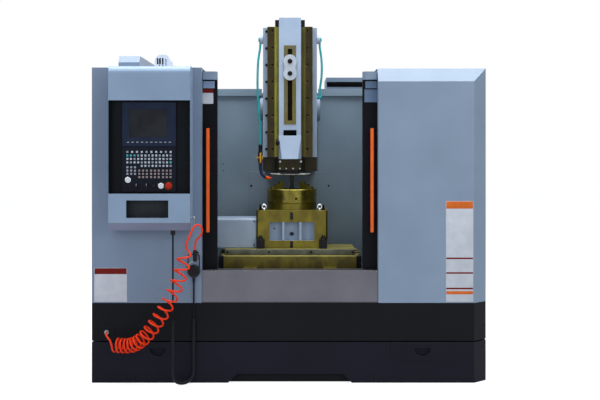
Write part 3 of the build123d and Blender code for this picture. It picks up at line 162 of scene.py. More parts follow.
def add_node(
    tree: Tree, kind: str, settings: dict[str, Any] | None = None, inputs: dict[str | int, Any] | None = None
) -> bpy.types.Node:
    """Add a shader node with its settings, values and links.

    Args:
        tree: Node tree of the material.
        kind: Node type name.
        settings: Node properties to set.
        inputs: Socket name or index to a value, or to the output socket that feeds it.

    Returns:
        The new node.
    """
    made = tree.nodes.new(kind)
    for key, value in (settings or {}).items():
        setattr(made, key, value)
    for key, value in (inputs or {}).items():
        if isinstance(value, Socket):
            tree.links.new(value, made.inputs[key])
        else:
            made.inputs[key].default_value = value
    return made


def calculated(tree: Tree, operation: str, first: Any, second: Any) -> Socket:
    """Return the result of a maths step on two values."""
    return add_node(tree, "ShaderNodeMath", {"operation": operation}, {0: first, 1: second}).outputs[0]


def blend(tree: Tree, share: Socket, first: Any, second: Any) -> Socket:
    """Mix two colours by a share."""
    return add_node(tree, "ShaderNodeMix", {"data_type": "RGBA"}, {0: share, 6: first, 7: second}).outputs[2]


def ranged(tree: Tree, value: Socket, span: Span, top: float = 1.0) -> Socket:
    """Stretch a span of a value to the range from 0 to a top."""
    return add_node(tree, "ShaderNodeMapRange", inputs={
        "Value": value, "From Min": span[0], "From Max": span[1], "To Max": top,
    }).outputs["Result"]


def noise(tree: Tree, place: Socket, size_mm: float, detail: float = 2.0, **more: float) -> Socket:
    """Return noise with spots of a real size."""
    return add_node(tree, "ShaderNodeTexNoise", inputs={
        "Vector": place, "Scale": 1 / (size_mm * MM), "Detail": detail, **more,
    }).outputs["Fac"]


def stretched(tree: Tree, place: Socket, scale: Sequence[float]) -> Socket:
    """Return coordinates drawn out along the axes whose scale is small."""
    return add_node(tree, "ShaderNodeMapping", inputs={"Vector": place, "Scale": scale}).outputs["Vector"]


def seen_directly(tree: Tree) -> Socket:
    """Tell rays that show the surroundings to the eye, also by mirror or glass, from light.

    Args:
        tree: Node tree of the material or world.

    Returns:
        1 for what is seen and 0 for what lights.
    """
    rays = add_node(tree, "ShaderNodeLightPath").outputs
    plain = calculated(tree, "MAXIMUM", rays["Is Camera Ray"], rays["Is Transmission Ray"])
    return calculated(tree, "MAXIMUM", plain, rays["Is Glossy Ray"])


@dataclass(frozen=True)
class Finish:
    """Surface made of one material: tone patches, fine grain, lighter edges and specks. The lighter edges are
    rubbed wear on bare metal and powder coat, and a painted highlight on the cabinet enamel and the sill.

    Sizes are real ones in millimetres. Grain under about 2 mm is drawn coarser than it is, so that it shows.
    """

    name: str
    colour: str
    shade: str
    roughness: float = 0.42
    metallic: float = 0.0
    specular: float = 0.4
    patch_mm: float = 160.0
    grain_mm: float = 2.5
    grain_depth_mm: float = 0.04
    lay: Lay = Lay.NONE
    coat: float = 0.0
    speck: str = ""
    speck_mm: float = 9.0
    speck_share: float = 0.0
    subsurface: float = 0.0
    edge_mm: float = 0.0
    edge_tone: str = ""

    def material(self) -> bpy.types.Material:
        """Make the finish's material at its first use.

        Returns:
            The material.
        """
        made = bpy.data.materials.get(self.name)
        if made is None:
            made = bpy.data.materials.new(self.name)
            made.use_nodes = True
            made.diffuse_color = linear(self.colour)
            tree = made.node_tree
            tree.nodes.clear()
            shader = add_node(tree, "ShaderNodeBsdfPrincipled")
            add_node(tree, "ShaderNodeOutputMaterial", inputs={"Surface": shader.outputs["BSDF"]})
            self.compose(tree, shader, add_node(tree, "ShaderNodeTexCoord").outputs["Object"])
        return made

    def compose(self, tree: Tree, shader: bpy.types.Node, place: Socket) -> None:
        """Link colour, roughness and bump to the shader.

        Args:
            tree: Node tree of the material.
            shader: Principled shader to feed.
            place: Object coordinates.
        """
        for key, value in (
            ("Metallic", self.metallic), ("Specular IOR Level", self.specular),
            ("Coat Weight", self.coat), ("Coat Roughness", COAT_ROUGHNESS),
            ("Subsurface Weight", self.subsurface), ("Subsurface Scale", SUBSURFACE_M),
        ):
            shader.inputs[key].default_value = value
        tone = self.tone(tree, place)
        grain = self.grain(tree, place)
        rough = add_node(tree, "ShaderNodeMapRange", inputs={
            "Value": grain, "From Min": GRAIN_RANGE[0], "From Max": GRAIN_RANGE[1],
            "To Min": self.roughness * (1 - ROUGH_SWING),
            "To Max": min(1.0, self.roughness * (1 + ROUGH_SWING)),
        })
        bump = add_node(tree, "ShaderNodeBump", inputs={
            "Strength": BUMP_STRENGTH, "Distance": self.grain_depth_mm * MM, "Height": grain,
        })
        if self.edge_mm:
            tone = self.edge_wear_and_highlight(tree, tone, bump)
        tree.links.new(tone, shader.inputs["Base Color"])
        tree.links.new(rough.outputs["Result"], shader.inputs["Roughness"])
        tree.links.new(bump.outputs["Normal"], shader.inputs["Normal"])

    def edge_wear_and_highlight(self, tree: Tree, tone: Socket, bump: bpy.types.Node) -> Socket:
        """Round the edges to the eye, and paint them lighter: rubbed wear on bare metal and powder coat, a
        painted highlight on the cabinet enamel and the sill.

        Args:
            tree: Node tree of the material.
            tone: Colour away from the edges.
            bump: Bump node that takes the rounded normal.

        Returns:
            The colour with its edges painted lighter.
        """
        bevel = add_node(tree, "ShaderNodeBevel", {"samples": 4}, {"Radius": self.edge_mm * MM})
        rounded = bevel.outputs["Normal"]
        tree.links.new(rounded, bump.inputs["Normal"])
        if not self.edge_tone:
            return tone
        flat = add_node(tree, "ShaderNodeNewGeometry").outputs["Normal"]
        level = add_node(tree, "ShaderNodeVectorMath", {"operation": "DOT_PRODUCT"}, {0: rounded, 1: flat})
        # Lighter edges: rubbed wear on metal and powder coat, a painted highlight on the cabinet enamel and
        # the sill.
        worn_and_lit_edge = ranged(tree, level.outputs["Value"], EDGE_RANGE, EDGE_SHARE)
        return blend(tree, worn_and_lit_edge, tone, linear(self.edge_tone))

    def tone(self, tree: Tree, place: Socket) -> Socket:
        """Let the colour drift between two tones, with worn specks.

        Args:
            tree: Node tree of the material.
            place: Object coordinates.

        Returns:
            The colour.
        """
        share = ranged(tree, noise(tree, place, self.patch_mm, 3.0, Roughness=0.55), PATCH_RANGE)
        tone = blend(tree, share, linear(self.colour), linear(self.shade))
        if not self.speck_share:
            return tone
        edge = SPECK_TOP - SPECK_DROP * self.speck_share
        worn = ranged(tree, noise(tree, place, self.speck_mm), (edge, edge + SPECK_BLUR), SPECK_SHARE)
        return blend(tree, worn, tone, linear(self.speck))

    def grain(self, tree: Tree, place: Socket) -> Socket:
        """Return the fine grain, drawn out along the lay where there is one."""
        scale = [LAY_STRETCH if self.lay.value == axis else 1.0 for axis in range(3)]
        return noise(tree, stretched(tree, place, scale), self.grain_mm)


@dataclass(frozen=True)
class Enamel(Finish):
    """Stoved enamel on metal: an even satin skin with a faint orange peel."""

    patch_mm: float = 400.0
    grain_mm: float = 3.5
    grain_depth_mm: float = 0.03
    coat: float = 0.08
    specular: float = 0.3
    edge_mm: float = 2.5


@dataclass(frozen=True)
class Moulded(Finish):
    """Moulded plastic: a fine spark-eroded grain and a soft highlight."""

    patch_mm: float = 40.0
    grain_mm: float = 1.8
    specular: float = 0.12


@dataclass(frozen=True)
class Metal(Finish):
    """Bare metal with tool marks along its lay."""

    metallic: float = 1.0
    roughness: float = 0.3
    specular: float = 0.5
    patch_mm: float = 60.0
    grain_mm: float = 2.0


@dataclass(frozen=True)
class FilmedIron(Metal):
    """Machined iron under a yellow film of rust-preventing oil: brown where thin, gold where it has run."""

    metallic: float = 0.75
    coat: float = 0.06
    film: str = "#71691d"
    film_mm: float = 70.0
    film_share: float = 0.85
    edge_mm: float = 1.5
    edge_tone: str = "#a89a48"

    def tone(self, tree: Tree, place: Socket) -> Socket:
        """Lay runs of the film over the iron's tone.

        Args:
            tree: Node tree of the material.
            place: Object coordinates.

        Returns:
            The colour.
        """
        base = Finish.tone(self, tree, place)
        drawn = stretched(tree, place, (1.0, 1.0, FILM_STRETCH))
        runs = noise(tree, drawn, self.film_mm, 4.0, Distortion=0.6)
        share = ranged(tree, runs, FILM_RANGE, self.film_share)
        return blend(tree, share, base, linear(self.film))


@dataclass(frozen=True)
class ClearPane(Finish):
    """Clear sheet, such as polycarbonate or glass, with faint smears."""

    transmission: float = 0.92

    def compose(self, tree: Tree, shader: bpy.types.Node, place: Socket) -> None:
        """Link as any finish, then let light through."""
        Finish.compose(self, tree, shader, place)
        shader.inputs["Transmission Weight"].default_value = self.transmission


@dataclass(frozen=True)
class StudioFloor(Finish):
    """Painted floor: a glow that only the eye gets makes it white, and the paint keeps the shadow."""

    glow: float = 0.72

    def compose(self, tree: Tree, shader: bpy.types.Node, place: Socket) -> None:
        """Link as any finish, then add the glow.

        Args:
            tree: Node tree of the material.
            shader: Principled shader to feed.
            place: Object coordinates.
        """
        Finish.compose(self, tree, shader, place)
        shader.inputs["Emission Color"].default_value = linear(WHITE_LIGHT)
        strength = calculated(tree, "MULTIPLY", seen_directly(tree), self.glow)
        tree.links.new(strength, shader.inputs["Emission Strength"])


class Look:
    """The finishes of this machine, each named for what it is."""

    # Blue-grey enamel on folded sheet: even satin, a little lighter where folds catch the light.
    CABINET = Enamel("stoved_enamel_on_sheet_steel", "#7d91a8", "#768aa1", edge_tone="#97abc2")
    # Copy of the cabinet enamel darkened with painted shade, for the left shell and the duct's right-facing
    # side.
    CABINET_PAINTED_SHADE = Enamel("stoved_enamel_painted_shade", "#72849d", "#6c7e96", edge_tone="#8a9cb3")
    CONSOLE = Enamel("stoved_enamel_on_console", "#8096b1", "#798fa9", patch_mm=300)
    # Console enamel lightened with painted highlight on the upward fold, and darkened with painted shade on
    # the downward fold.
    CONSOLE_PAINTED_HIGHLIGHT = Enamel("stoved_enamel_upper_fold_painted_highlight", "#8fa7c4", "#88a0bc", patch_mm=300)
    CONSOLE_PAINTED_SHADE = Enamel("stoved_enamel_lower_fold_painted_shade", "#757d96", "#6e768e", patch_mm=300)
    WALL = Enamel("chamber_wall_enamel", "#8ea5b8", "#869cae", coat=0.15)
    CAP = Enamel("door_cap_enamel", "#7a8ea6", "#72869e", patch_mm=80)
    CAP_PLATE = Enamel("door_cap_plate_enamel", "#7e97b8", "#7790b0", patch_mm=80)
    SLATE_PLATE = Enamel("slate_enamel_on_right_door_plate", "#5d7493", "#566d8b", patch_mm=80)
    # Filled and painted casting: the same enamel over a wavier ground.
    CASTING = Enamel(
        "enamel_on_filled_casting", "#99acc3", "#91a3ba", patch_mm=120, grain_mm=5, grain_depth_mm=0.12,
    )
    RAM = Enamel("gloss_enamel_on_ram", "#a4b8d2", "#9bafc9", 0.36, patch_mm=140, grain_mm=4, coat=0.25)
    BOSS = Enamel("enamel_on_pipe_boss", "#a3b4c9", "#98a9be", patch_mm=40)
    MOTOR = Enamel("grey_enamel_on_motor", "#59646f", "#4e5862", patch_mm=80)
    COWL = Moulded("white_abs_vent_cowl", "#dbe6f3", "#d0dbe9", patch_mm=60)
    # Textured powder coat: near black, its fine grain breaking the highlight, rubbed grey on corners.
    BASE = Finish(
        "black_textured_powder_coat", "#101217", "#0d0f13", 0.55, specular=0.08, patch_mm=500,
        grain_depth_mm=0.08, speck="#2b2d35", speck_mm=6, speck_share=0.08, edge_mm=2.5, edge_tone="#3a3d46",
    )
    PLINTH = Finish(
        "blue_black_textured_powder_coat", "#161722", "#13141d", 0.55, specular=0.08, patch_mm=500,
        grain_depth_mm=0.08, speck="#2e3040", speck_mm=6, speck_share=0.08, edge_mm=2.5, edge_tone="#434757",
    )
    DOOR = Enamel(
        "black_satin_enamel", "#0d0e14", "#0a0b10", 0.4, specular=0.07, coat=0.0, edge_tone="#2a2d36",
    )
    # Brushed stainless: fine lines along the sill that draw the light out sideways; its edges are painted
    # lighter as a painted highlight.
    SILL = Metal(
        "brushed_stainless_sill", "#5f5f68", "#57575f", 0.36, 0.85, lay=Lay.X, patch_mm=260,
        edge_mm=2.5, edge_tone="#a0a2ab",
    )
    STEEL = Metal("ground_steel", "#8e9297", "#7d8186", lay=Lay.X)
    ROD = Metal("bright_drawn_rod", "#878a8c", "#5c5d59", 0.28, lay=Lay.X, patch_mm=30)
    RAIL = Metal(
        "oiled_rail_steel", "#55584f", "#3f423d", 0.36, 0.9, lay=Lay.X, edge_mm=1.5, edge_tone="#8a8b78",
    )
    LINK = Metal(
        "cast_link_steel", "#b4bfcc", "#a6b1be", 0.45, 0.35, patch_mm=40, edge_mm=2, edge_tone="#cdd6e0",
    )
    CHROME = Metal("chromed_steel", "#d9dde2", "#cbd0d6", 0.14, patch_mm=30, grain_depth_mm=0.01)
    DARK_STEEL = Metal(
        "blackened_steel", "#1d1e22", "#15161a", 0.4, 0.6, specular=0.2, patch_mm=30,
        speck="#4d4a3e", speck_mm=4, speck_share=0.25, edge_mm=1, edge_tone="#5a584e",
    )
    # Chemically blacked screws: matt, almost without a highlight.
    BLACK_OXIDE = Metal("black_oxide_steel", "#0c0d0f", "#08090a", 0.5, 0.2, specular=0.1, patch_mm=12)
    # Shadowed depth: nearly no light comes back.
    VOID = Finish("unlit_recess", "#090a0c", "#060708", 0.7, specular=0.05, patch_mm=50)
    # Recess interiors: dark enamel standing for painted shade.
    POCKET = Enamel("pocket_enamel_painted_shade", "#2f353b", "#292e33", specular=0.08, coat=0.0, patch_mm=120)
    IRON = FilmedIron("iron_under_yellow_film", "#625919", "#554c17", 0.36, lay=Lay.X, grain_mm=2.2)
    SADDLE = FilmedIron(
        "saddle_iron_under_film", "#564e1e", "#3f391b", 0.38, lay=Lay.X, grain_mm=2.2, film="#665e21",
    )
    # Upward-facing tops of saddle and table: a lighter, less metallic copy of the filmed iron as painted
    # highlight.
    SLIDE_TOP_PAINTED_HIGHLIGHT = FilmedIron(
        "slide_top_film_painted_highlight", "#8a8440", "#77723a", 0.5, 0.2, lay=Lay.X, film="#96904a",
    )
    SLOT_PLATE = FilmedIron(
        "slot_plate_steel_under_film", "#65624a", "#565238", 0.3, lay=Lay.Z, grain_mm=2.2,
        film="#6b611e", film_mm=130,
    )
    # Gib iron: its rubbed edges, widened to 3 mm, also paint the highlight on the counterbores' rims.
    GIB = FilmedIron(
        "gib_iron_under_film", "#2e280f", "#231e0c", 0.38, lay=Lay.Z, film="#383111", edge_mm=3,
    )
    # Inner gib bevels: lighter, less metallic copies of the gib iron, a painted highlight on the right-facing
    # bevel and dimmer painted light on the left-facing one.
    GIB_BEVEL_PAINTED_HIGHLIGHT = FilmedIron(
        "gib_bevel_painted_highlight", "#a39e3c", "#8d8834", 0.4, 0.2, lay=Lay.Z, film="#b0ab44",
    )
    GIB_BEVEL_DIMMER_PAINTED_LIGHT = FilmedIron(
        "gib_bevel_dimmer_painted_light", "#655c20", "#564e1b", 0.5, 0.2, lay=Lay.Z, film="#70672a",
    )
    APRON = FilmedIron(
        "apron_iron_under_brown_film", "#201e14", "#191810", 0.5, 0.4, specular=0.15,
        film="#2a2611", edge_tone="#4a431d",
    )
    TOOL_PLATE = FilmedIron(
        "tool_plate_iron_under_film", "#1f1c0c", "#18160a", 0.45, 0.5, specular=0.2, film="#2b260f",
    )
    CHUCK = FilmedIron(
        "chuck_steel_under_film", "#6d6622", "#4d4719", 0.26, lay=Lay.X, grain_mm=2.2, film="#7e762a",
    )
    # Operator panel plastics: matt films and moulded caps.
    FASCIA = Moulded("black_fascia_film", "#0d1218", "#0b0f14", 0.45, specular=0.07, patch_mm=200)
    NAVY = Moulded("navy_abs_operator_unit", "#1e283d", "#1a2336", specular=0.08, patch_mm=90, edge_mm=1.5)
    KEYPAD = Moulded("keypad_membrane", "#141924", "#11151e", 0.5, specular=0.07, patch_mm=60, edge_mm=1.5)
    SCREEN = Finish(
        "unlit_display_glass", "#171b21", "#22262b", 0.16, specular=0.12, patch_mm=120, grain_depth_mm=0.0,
    )
    KEY_WHITE = Moulded("white_polyester_key", "#b0b9c8", "#a4adbc", 0.5, patch_mm=20)
    KEY_GREY = Moulded("grey_polyester_key", "#8f98a8", "#828b9b", 0.5, patch_mm=20)
    KEY_WARM = Moulded("warm_grey_polyester_key", "#8f8386", "#82767a", 0.5, patch_mm=20)
    KEY_TEAL = Moulded("teal_polyester_key", "#4aa3b4", "#3f94a6", 0.5, patch_mm=20)
    BLACK_ABS = Moulded("black_abs", "#101115", "#0b0c0f", specular=0.15, patch_mm=30)
    RED = Moulded("red_abs_estop", "#a8231a", "#9a1f17", 0.36, patch_mm=20)
    # E-stop collar: yellow darkened with painted shade.
    YELLOW = Moulded("yellow_abs_collar_painted_shade", "#3c3010", "#33290d", patch_mm=20)
    WHITE = Moulded("white_abs_button", "#d0d7e1", "#c3cbd6", 0.36, patch_mm=20)
    MARK = Moulded("grey_printed_mark", "#70757d", "#666b73", 0.5, patch_mm=20)
    ORANGE_GRIP = Moulded("orange_abs_grip", "#ee682e", "#e26029", 0.4, patch_mm=70)
    # Extruded polyurethane and PVC: saturated, slightly translucent or matt black.
    HOSE = Moulded("polyurethane_air_hose", "#ea3f18", "#da3613", 0.32, patch_mm=30, subsurface=0.12)
    TEAL = Moulded("polyurethane_oil_pipe", "#35aeb2", "#2a9ea4", 0.32, patch_mm=40, subsurface=0.12)
    RUBBER = Moulded("black_pvc_jacket", "#0e0f13", "#0a0b0e", 0.55, specular=0.1)
    SLEEVE = Moulded("black_polyamide_sleeve", "#1b1d25", "#16181f", 0.5, specular=0.1)
    BRASS = Metal("turned_brass", "#a8853a", "#8d6e2e", patch_mm=15)
    COOLANT = Moulded("navy_acetal_hose_joint", "#232c4c", "#1c2440", patch_mm=25)
    NOZZLE = Moulded("orange_acetal_nozzle", "#e2521d", "#d34817", patch_mm=20)
    # Clear sheet: the dark sheet behind it shows through with one soft reflection.
    PANE = ClearPane("polycarbonate_pane", "#dfe8ea", "#d4dee2", 0.06, patch_mm=200, grain_depth_mm=0.0)
    # Printed aluminium plates, left blank: satin white with a plain band.
    PLATE = Moulded("blank_white_plate", "#bfc6d1", "#b5bcc8", 0.5, patch_mm=60)
    PLATE_RED = Moulded("blank_plate_red_band", "#6d140e", "#62110b", 0.5, patch_mm=60)
    PLATE_ORANGE = Moulded("blank_plate_orange_band", "#cf6a2b", "#c26026", 0.5, patch_mm=60)
    # Matt pale floor paint.
    FLOOR = StudioFloor("pale_floor_paint", "#c9cbcf", "#c5c7cb", 0.85, patch_mm=900, specular=0.1)


@dataclass(frozen=True)
class Zone:
    """Faces of a CAD node with a finish of their own, by where their middles are and the way they face."""

    finish: Finish
    x: Span = EVERYWHERE
    y: Span = EVERYWHERE
    z: Span = EVERYWHERE
    facing: Point | None = None
    turn: float = 0.55

    def holds(self, face: bpy.types.MeshPolygon) -> bool:
        """Say whether a face is in the zone.

        Args:
            face: Face of a CAD mesh.

        Returns:
            True where its middle and its direction fit.
        """
        if self.facing and face.normal.dot(Vector(self.facing)) < self.turn:
            return False
        spans = (self.x, self.y, self.z)
        return all(a - SLACK <= c / MM <= b + SLACK for (a, b), c in zip(spans, face.center))


def coat(finish: Finish, *nodes: str) -> None:
    """Give whole CAD nodes one finish."""
    for node in nodes:
        dress(node, finish)


def dress(node: str, finish: Finish, *zones: Zone) -> None:
    """Give a CAD node its finish, and its zones theirs.

    Args:
        node: CAD node name.
        finish: Finish of the faces that no zone holds.
        zones: Parts of the node with other finishes; a later one wins.
    """
    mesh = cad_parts[node].data
    mesh.materials.clear()
    for each in (finish, *(zone.finish for zone in zones)):
        mesh.materials.append(each.material())
    for face in mesh.polygons:
        face.material_index = max((i for i, zone in enumerate(zones, 1) if zone.holds(face)), default=0)
    LOG.info("dressed %s with %s and %d zones", node, finish.name, len(zones))


class Bench:
    """Hand modelling steps; each leaves one finished object with its place in its mesh."""

    @staticmethod
    def start() -> None:
        """Leave nothing selected."""
        bpy.ops.object.select_all(action="DESELECT")

    @staticmethod
    def named(name: str, finish: Finish, smooth_deg: float = 40.0) -> Piece:
        """Close the active object's normals, smooth it, and give it a name and finish.

        Args:
            name: Piece name.
            finish: Finish of the whole piece.
            smooth_deg: Edges sharper than this stay sharp.

        Returns:
            The piece.
        """
        made = bpy.context.object
        bpy.ops.object.mode_set(mode="EDIT")
        bpy.ops.mesh.select_all(action="SELECT")
        bpy.ops.mesh.remove_doubles(threshold=1e-6)
        bpy.ops.mesh.normals_make_consistent(inside=False)
        bpy.ops.object.mode_set(mode="OBJECT")
        bpy.ops.object.shade_smooth_by_angle(angle=math.radians(smooth_deg))
        made.name = made.data.name = name
        made.data.materials.clear()
        made.data.materials.append(finish.material())
        return made

    @staticmethod
    def block(
        name: str, low: Point, high: Point, bevel: float, finish: Finish, segments: int = 2
    ) -> Piece:
        """Model a block with bevelled edges between two corners.

        Args:
            name: Piece name.
            low: Lowest corner in millimetres.
            high: Highest corner in millimetres.
            bevel: Width of the edges' bevel in millimetres.
            finish: Finish of the piece.
            segments: Faces across each bevel.

        Returns:
            The piece.
        """
        Bench.start()
        a, b = Vector(low) * MM, Vector(high) * MM
        bpy.ops.mesh.primitive_cube_add(size=1, location=(a + b) / 2, scale=b - a)
        bpy.ops.object.transform_apply(location=True, rotation=True, scale=True)
        bpy.ops.object.mode_set(mode="EDIT")
        bpy.ops.mesh.select_all(action="SELECT")
        bpy.ops.mesh.bevel(offset=bevel * MM, segments=segments, affect="EDGES")
        bpy.ops.object.mode_set(mode="OBJECT")
        return Bench.named(name, finish)

    @staticmethod
    def turned(
        name: str, foot: Point, axis: Point, rings: Sequence[Ring], finish: Finish, sides: int = 32
    ) -> Piece:
        """Model a turned form: a disc whose face is extruded and scaled ring by ring.

        Args:
            name: Piece name.
            foot: Middle of the first ring in millimetres.
            axis: Direction that the form grows in.
            rings: Radius and height of each ring in millimetres.
            finish: Finish of the piece.
            sides: Corners of each ring.

        Returns:
            The piece.
        """
        Bench.start()
        first = rings[0][0] * MM
        bpy.ops.mesh.primitive_circle_add(vertices=sides, radius=first, fill_type="NGON", location=(0, 0, 0))
        made = bpy.context.object
        bpy.ops.object.mode_set(mode="EDIT")
        bpy.ops.mesh.select_mode(type="FACE")
        bpy.ops.mesh.select_all(action="SELECT")
        for (r0, h0), (r1, h1) in pairwise(rings):
            bpy.ops.mesh.extrude_region_move(TRANSFORM_OT_translate={"value": (0, 0, (h1 - h0) * MM)})
            scale = r1 / r0
            bpy.ops.transform.resize(value=(scale, scale, 1), center_override=(0, 0, (h1 - rings[0][1]) * MM))
        bpy.ops.object.mode_set(mode="OBJECT")
        turn = Vector((0, 0, 1)).rotation_difference(Vector(axis))
        made.data.transform(Matrix.Translation(Vector(foot) * MM) @ turn.to_matrix().to_4x4())
        return Bench.named(name, finish)

    @staticmethod
    def loft(name: str, rings: Sequence[Hoop], finish: Finish, sides: int = 14) -> Piece:
        """Bridge rings set along a line, and close both ends.

        Args:
            name: Piece name.
            rings: Middle, direction and radius of each ring, in millimetres.
            finish: Finish of the piece.
            sides: Corners of each ring.

        Returns:
            The piece.
        """
        corners: list[Vector] = []
        across = rings[0][1].orthogonal()
        for place, run, radius in rings:
            across = (across - run * across.dot(run)).normalized()
            for side in range(sides):
                corners.append((place + Quaternion(run, math.tau * side / sides) @ across * radius) * MM)
        faces: list[tuple[int, ...]] = []
        for row in range(len(rings) - 1):
            for side in range(sides):
                a, b = row * sides + side, row * sides + (side + 1) % sides
                faces.append((a, b, b + sides, a + sides))
        last = (len(rings) - 1) * sides
        faces += [tuple(reversed(range(sides))), tuple(range(last, last + sides))]
        mesh = bpy.data.meshes.new(name)
        mesh.from_pydata(corners, [], faces)
        made = bpy.data.objects.new(name, mesh)
        bpy.context.collection.objects.link(made)
        Bench.start()
        made.select_set(True)
        bpy.context.view_layer.objects.active = made
        return Bench.named(name, finish, 50)

    @staticmethod
    def row(
        name: str, model: Piece, places: Iterable[Point], body: str = "frame", slot: str = "tool_steel"
    ) -> None:
        """Copy a piece, modelled at the origin, to several places on a body, as one piece.

        Args:
            name: Name of the joined piece.
            model: Piece to copy; it is used up.
            places: Offsets in millimetres.
            body: CAD body that the copies move with.
            slot: Material slot of the record.
        """
        moves = [Matrix.Translation(Vector(place) * MM) for place in places]
        Bench.place(Bench.arrange(name, model, moves), body, slot)

    @staticmethod
    def arrange(name: str, model: Piece, moves: Iterable[Matrix]) -> Piece:
        """Copy a piece by several moves, and join the copies.

        Args:
            name: Name of the joined piece.
            model: Piece to copy; it is used up.
            moves: Move of each copy.

        Returns:
            The joined piece.
        """
        Bench.start()
        for move in moves:
            copy = model.copy()
            copy.data = model.data.copy()
            copy.data.transform(move)
            bpy.context.collection.objects.link(copy)
            copy.select_set(True)
            bpy.context.view_layer.objects.active = copy
        bpy.ops.object.join()
        made = bpy.context.object
        bpy.data.objects.remove(model)
        made.name = made.data.name = name
        return made

    @staticmethod
    def place(piece: Piece, body: str, slot: str, stands_for: Sequence[str] = ()) -> Piece:
        """Let a piece ride on a body, and hide the CAD nodes it stands for.

        Args:
            piece: Finished piece.
            body: CAD body that it moves with.
            slot: Material slot of the record; not used.
            stands_for: CAD nodes that it replaces.

        Returns:
            The piece.
        """
        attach(piece, body)
        if stands_for:
            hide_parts(*stands_for)
        LOG.info("piece %s rides on %s", piece.name, body)
        return piece


def socket_head(radius: float, height: float) -> Piece:
    """Model a blacked socket screw's head, of a radius and height in millimetres, at the origin."""
    return Bench.turned("socket_head", ORIGIN, FRONT, [
        (radius, 0), (radius, 0.8 * height), (0.88 * radius, height), (0.55 * radius, height),
        (0.5 * radius, 0.4 * height),
    ], Look.BLACK_OXIDE, sides=12)


def hex_head(radius: float, height: float) -> Piece:
    """Model a bolt's head on its washer, of a corner radius and height in millimetres, at the origin."""
    washer = 0.2 * height
    return Bench.turned("hex_head", ORIGIN, FRONT, [
        (1.12 * radius, 0), (1.12 * radius, washer), (radius, washer), (radius, 0.86 * height),
        (0.8 * radius, height),
    ], Look.STEEL, sides=6)


class Route:
    """Smooth lines through a cord's route points."""

    @staticmethod
    def curve(name: str, points: Sequence[Point], radius: float) -> Piece:
        """Make a NURBS curve with the points, in millimetres, as its control points.

        Args:
            name: Object name.
            points: Control points.
            radius: Radius of the tube round it; 0 for a bare line.

        Returns:
            The curve object.
        """
        data = bpy.data.curves.new(name, "CURVE")
        data.dimensions = "3D"
        spline = data.splines.new("NURBS")
        spline.points.add(len(points) - 1)
        for knot, point in zip(spline.points, points):
            knot.co = (*(Vector(point) * MM), 1)
        spline.use_endpoint_u = True
        spline.order_u = 3
        data.resolution_u = 6
        data.bevel_depth = radius * MM
        data.bevel_resolution = 3
        data.use_fill_caps = radius > 0
        made = bpy.data.objects.new(name, data)
        bpy.context.collection.objects.link(made)
        return made

    @staticmethod
    def line(points: Sequence[Point]) -> list[Vector]:
        """Read the points along the bare NURBS line of a route.

        Args:
            points: Control points in millimetres.

        Returns:
            Points of the smooth line in millimetres.
        """
        bare = Route.curve("route_line", points, 0)
        mesh = bpy.data.meshes.new_from_object(bare)
        line = [vertex.co / MM for vertex in mesh.vertices]
        bpy.data.meshes.remove(mesh)
        data = bare.data
        bpy.data.objects.remove(bare)
        bpy.data.curves.remove(data)
        return line

    @staticmethod
    def spaced(line: Sequence[Vector], step: float) -> list[Step]:
        """Walk along a line.

        Args:
            line: Points in millimetres.
            step: Distance between places in millimetres.

        Returns:
            Distance along, place and direction, for each step.
        """
        places: list[Step] = []
        done = 0.0
        for a, b in pairwise(line):
            run = (b - a).length
            while len(places) * step <= done + run and run > 0:
                share = (len(places) * step - done) / run
                places.append((len(places) * step, a.lerp(b, share), (b - a).normalized()))
            done += run
        return places


@dataclass(frozen=True)
class Lamp:
    """Soft rectangular lamp; its place, aim and size are in metres."""

    name: str
    place: Point
    aim: Point
    size: tuple[float, float]
    watts: float

    def hang(self) -> None:
        """Hang the lamp, facing its aim."""
        data = bpy.data.lights.new(self.name, "AREA")
        data.shape, data.energy = "RECTANGLE", self.watts
        data.size, data.size_y = self.size
        lamp = bpy.data.objects.new(self.name, data)
        lamp.location = self.place
        lamp.rotation_euler = (Vector(self.aim) - Vector(self.place)).to_track_quat("-Z", "Y").to_euler()
        bpy.context.scene.collection.objects.link(lamp)


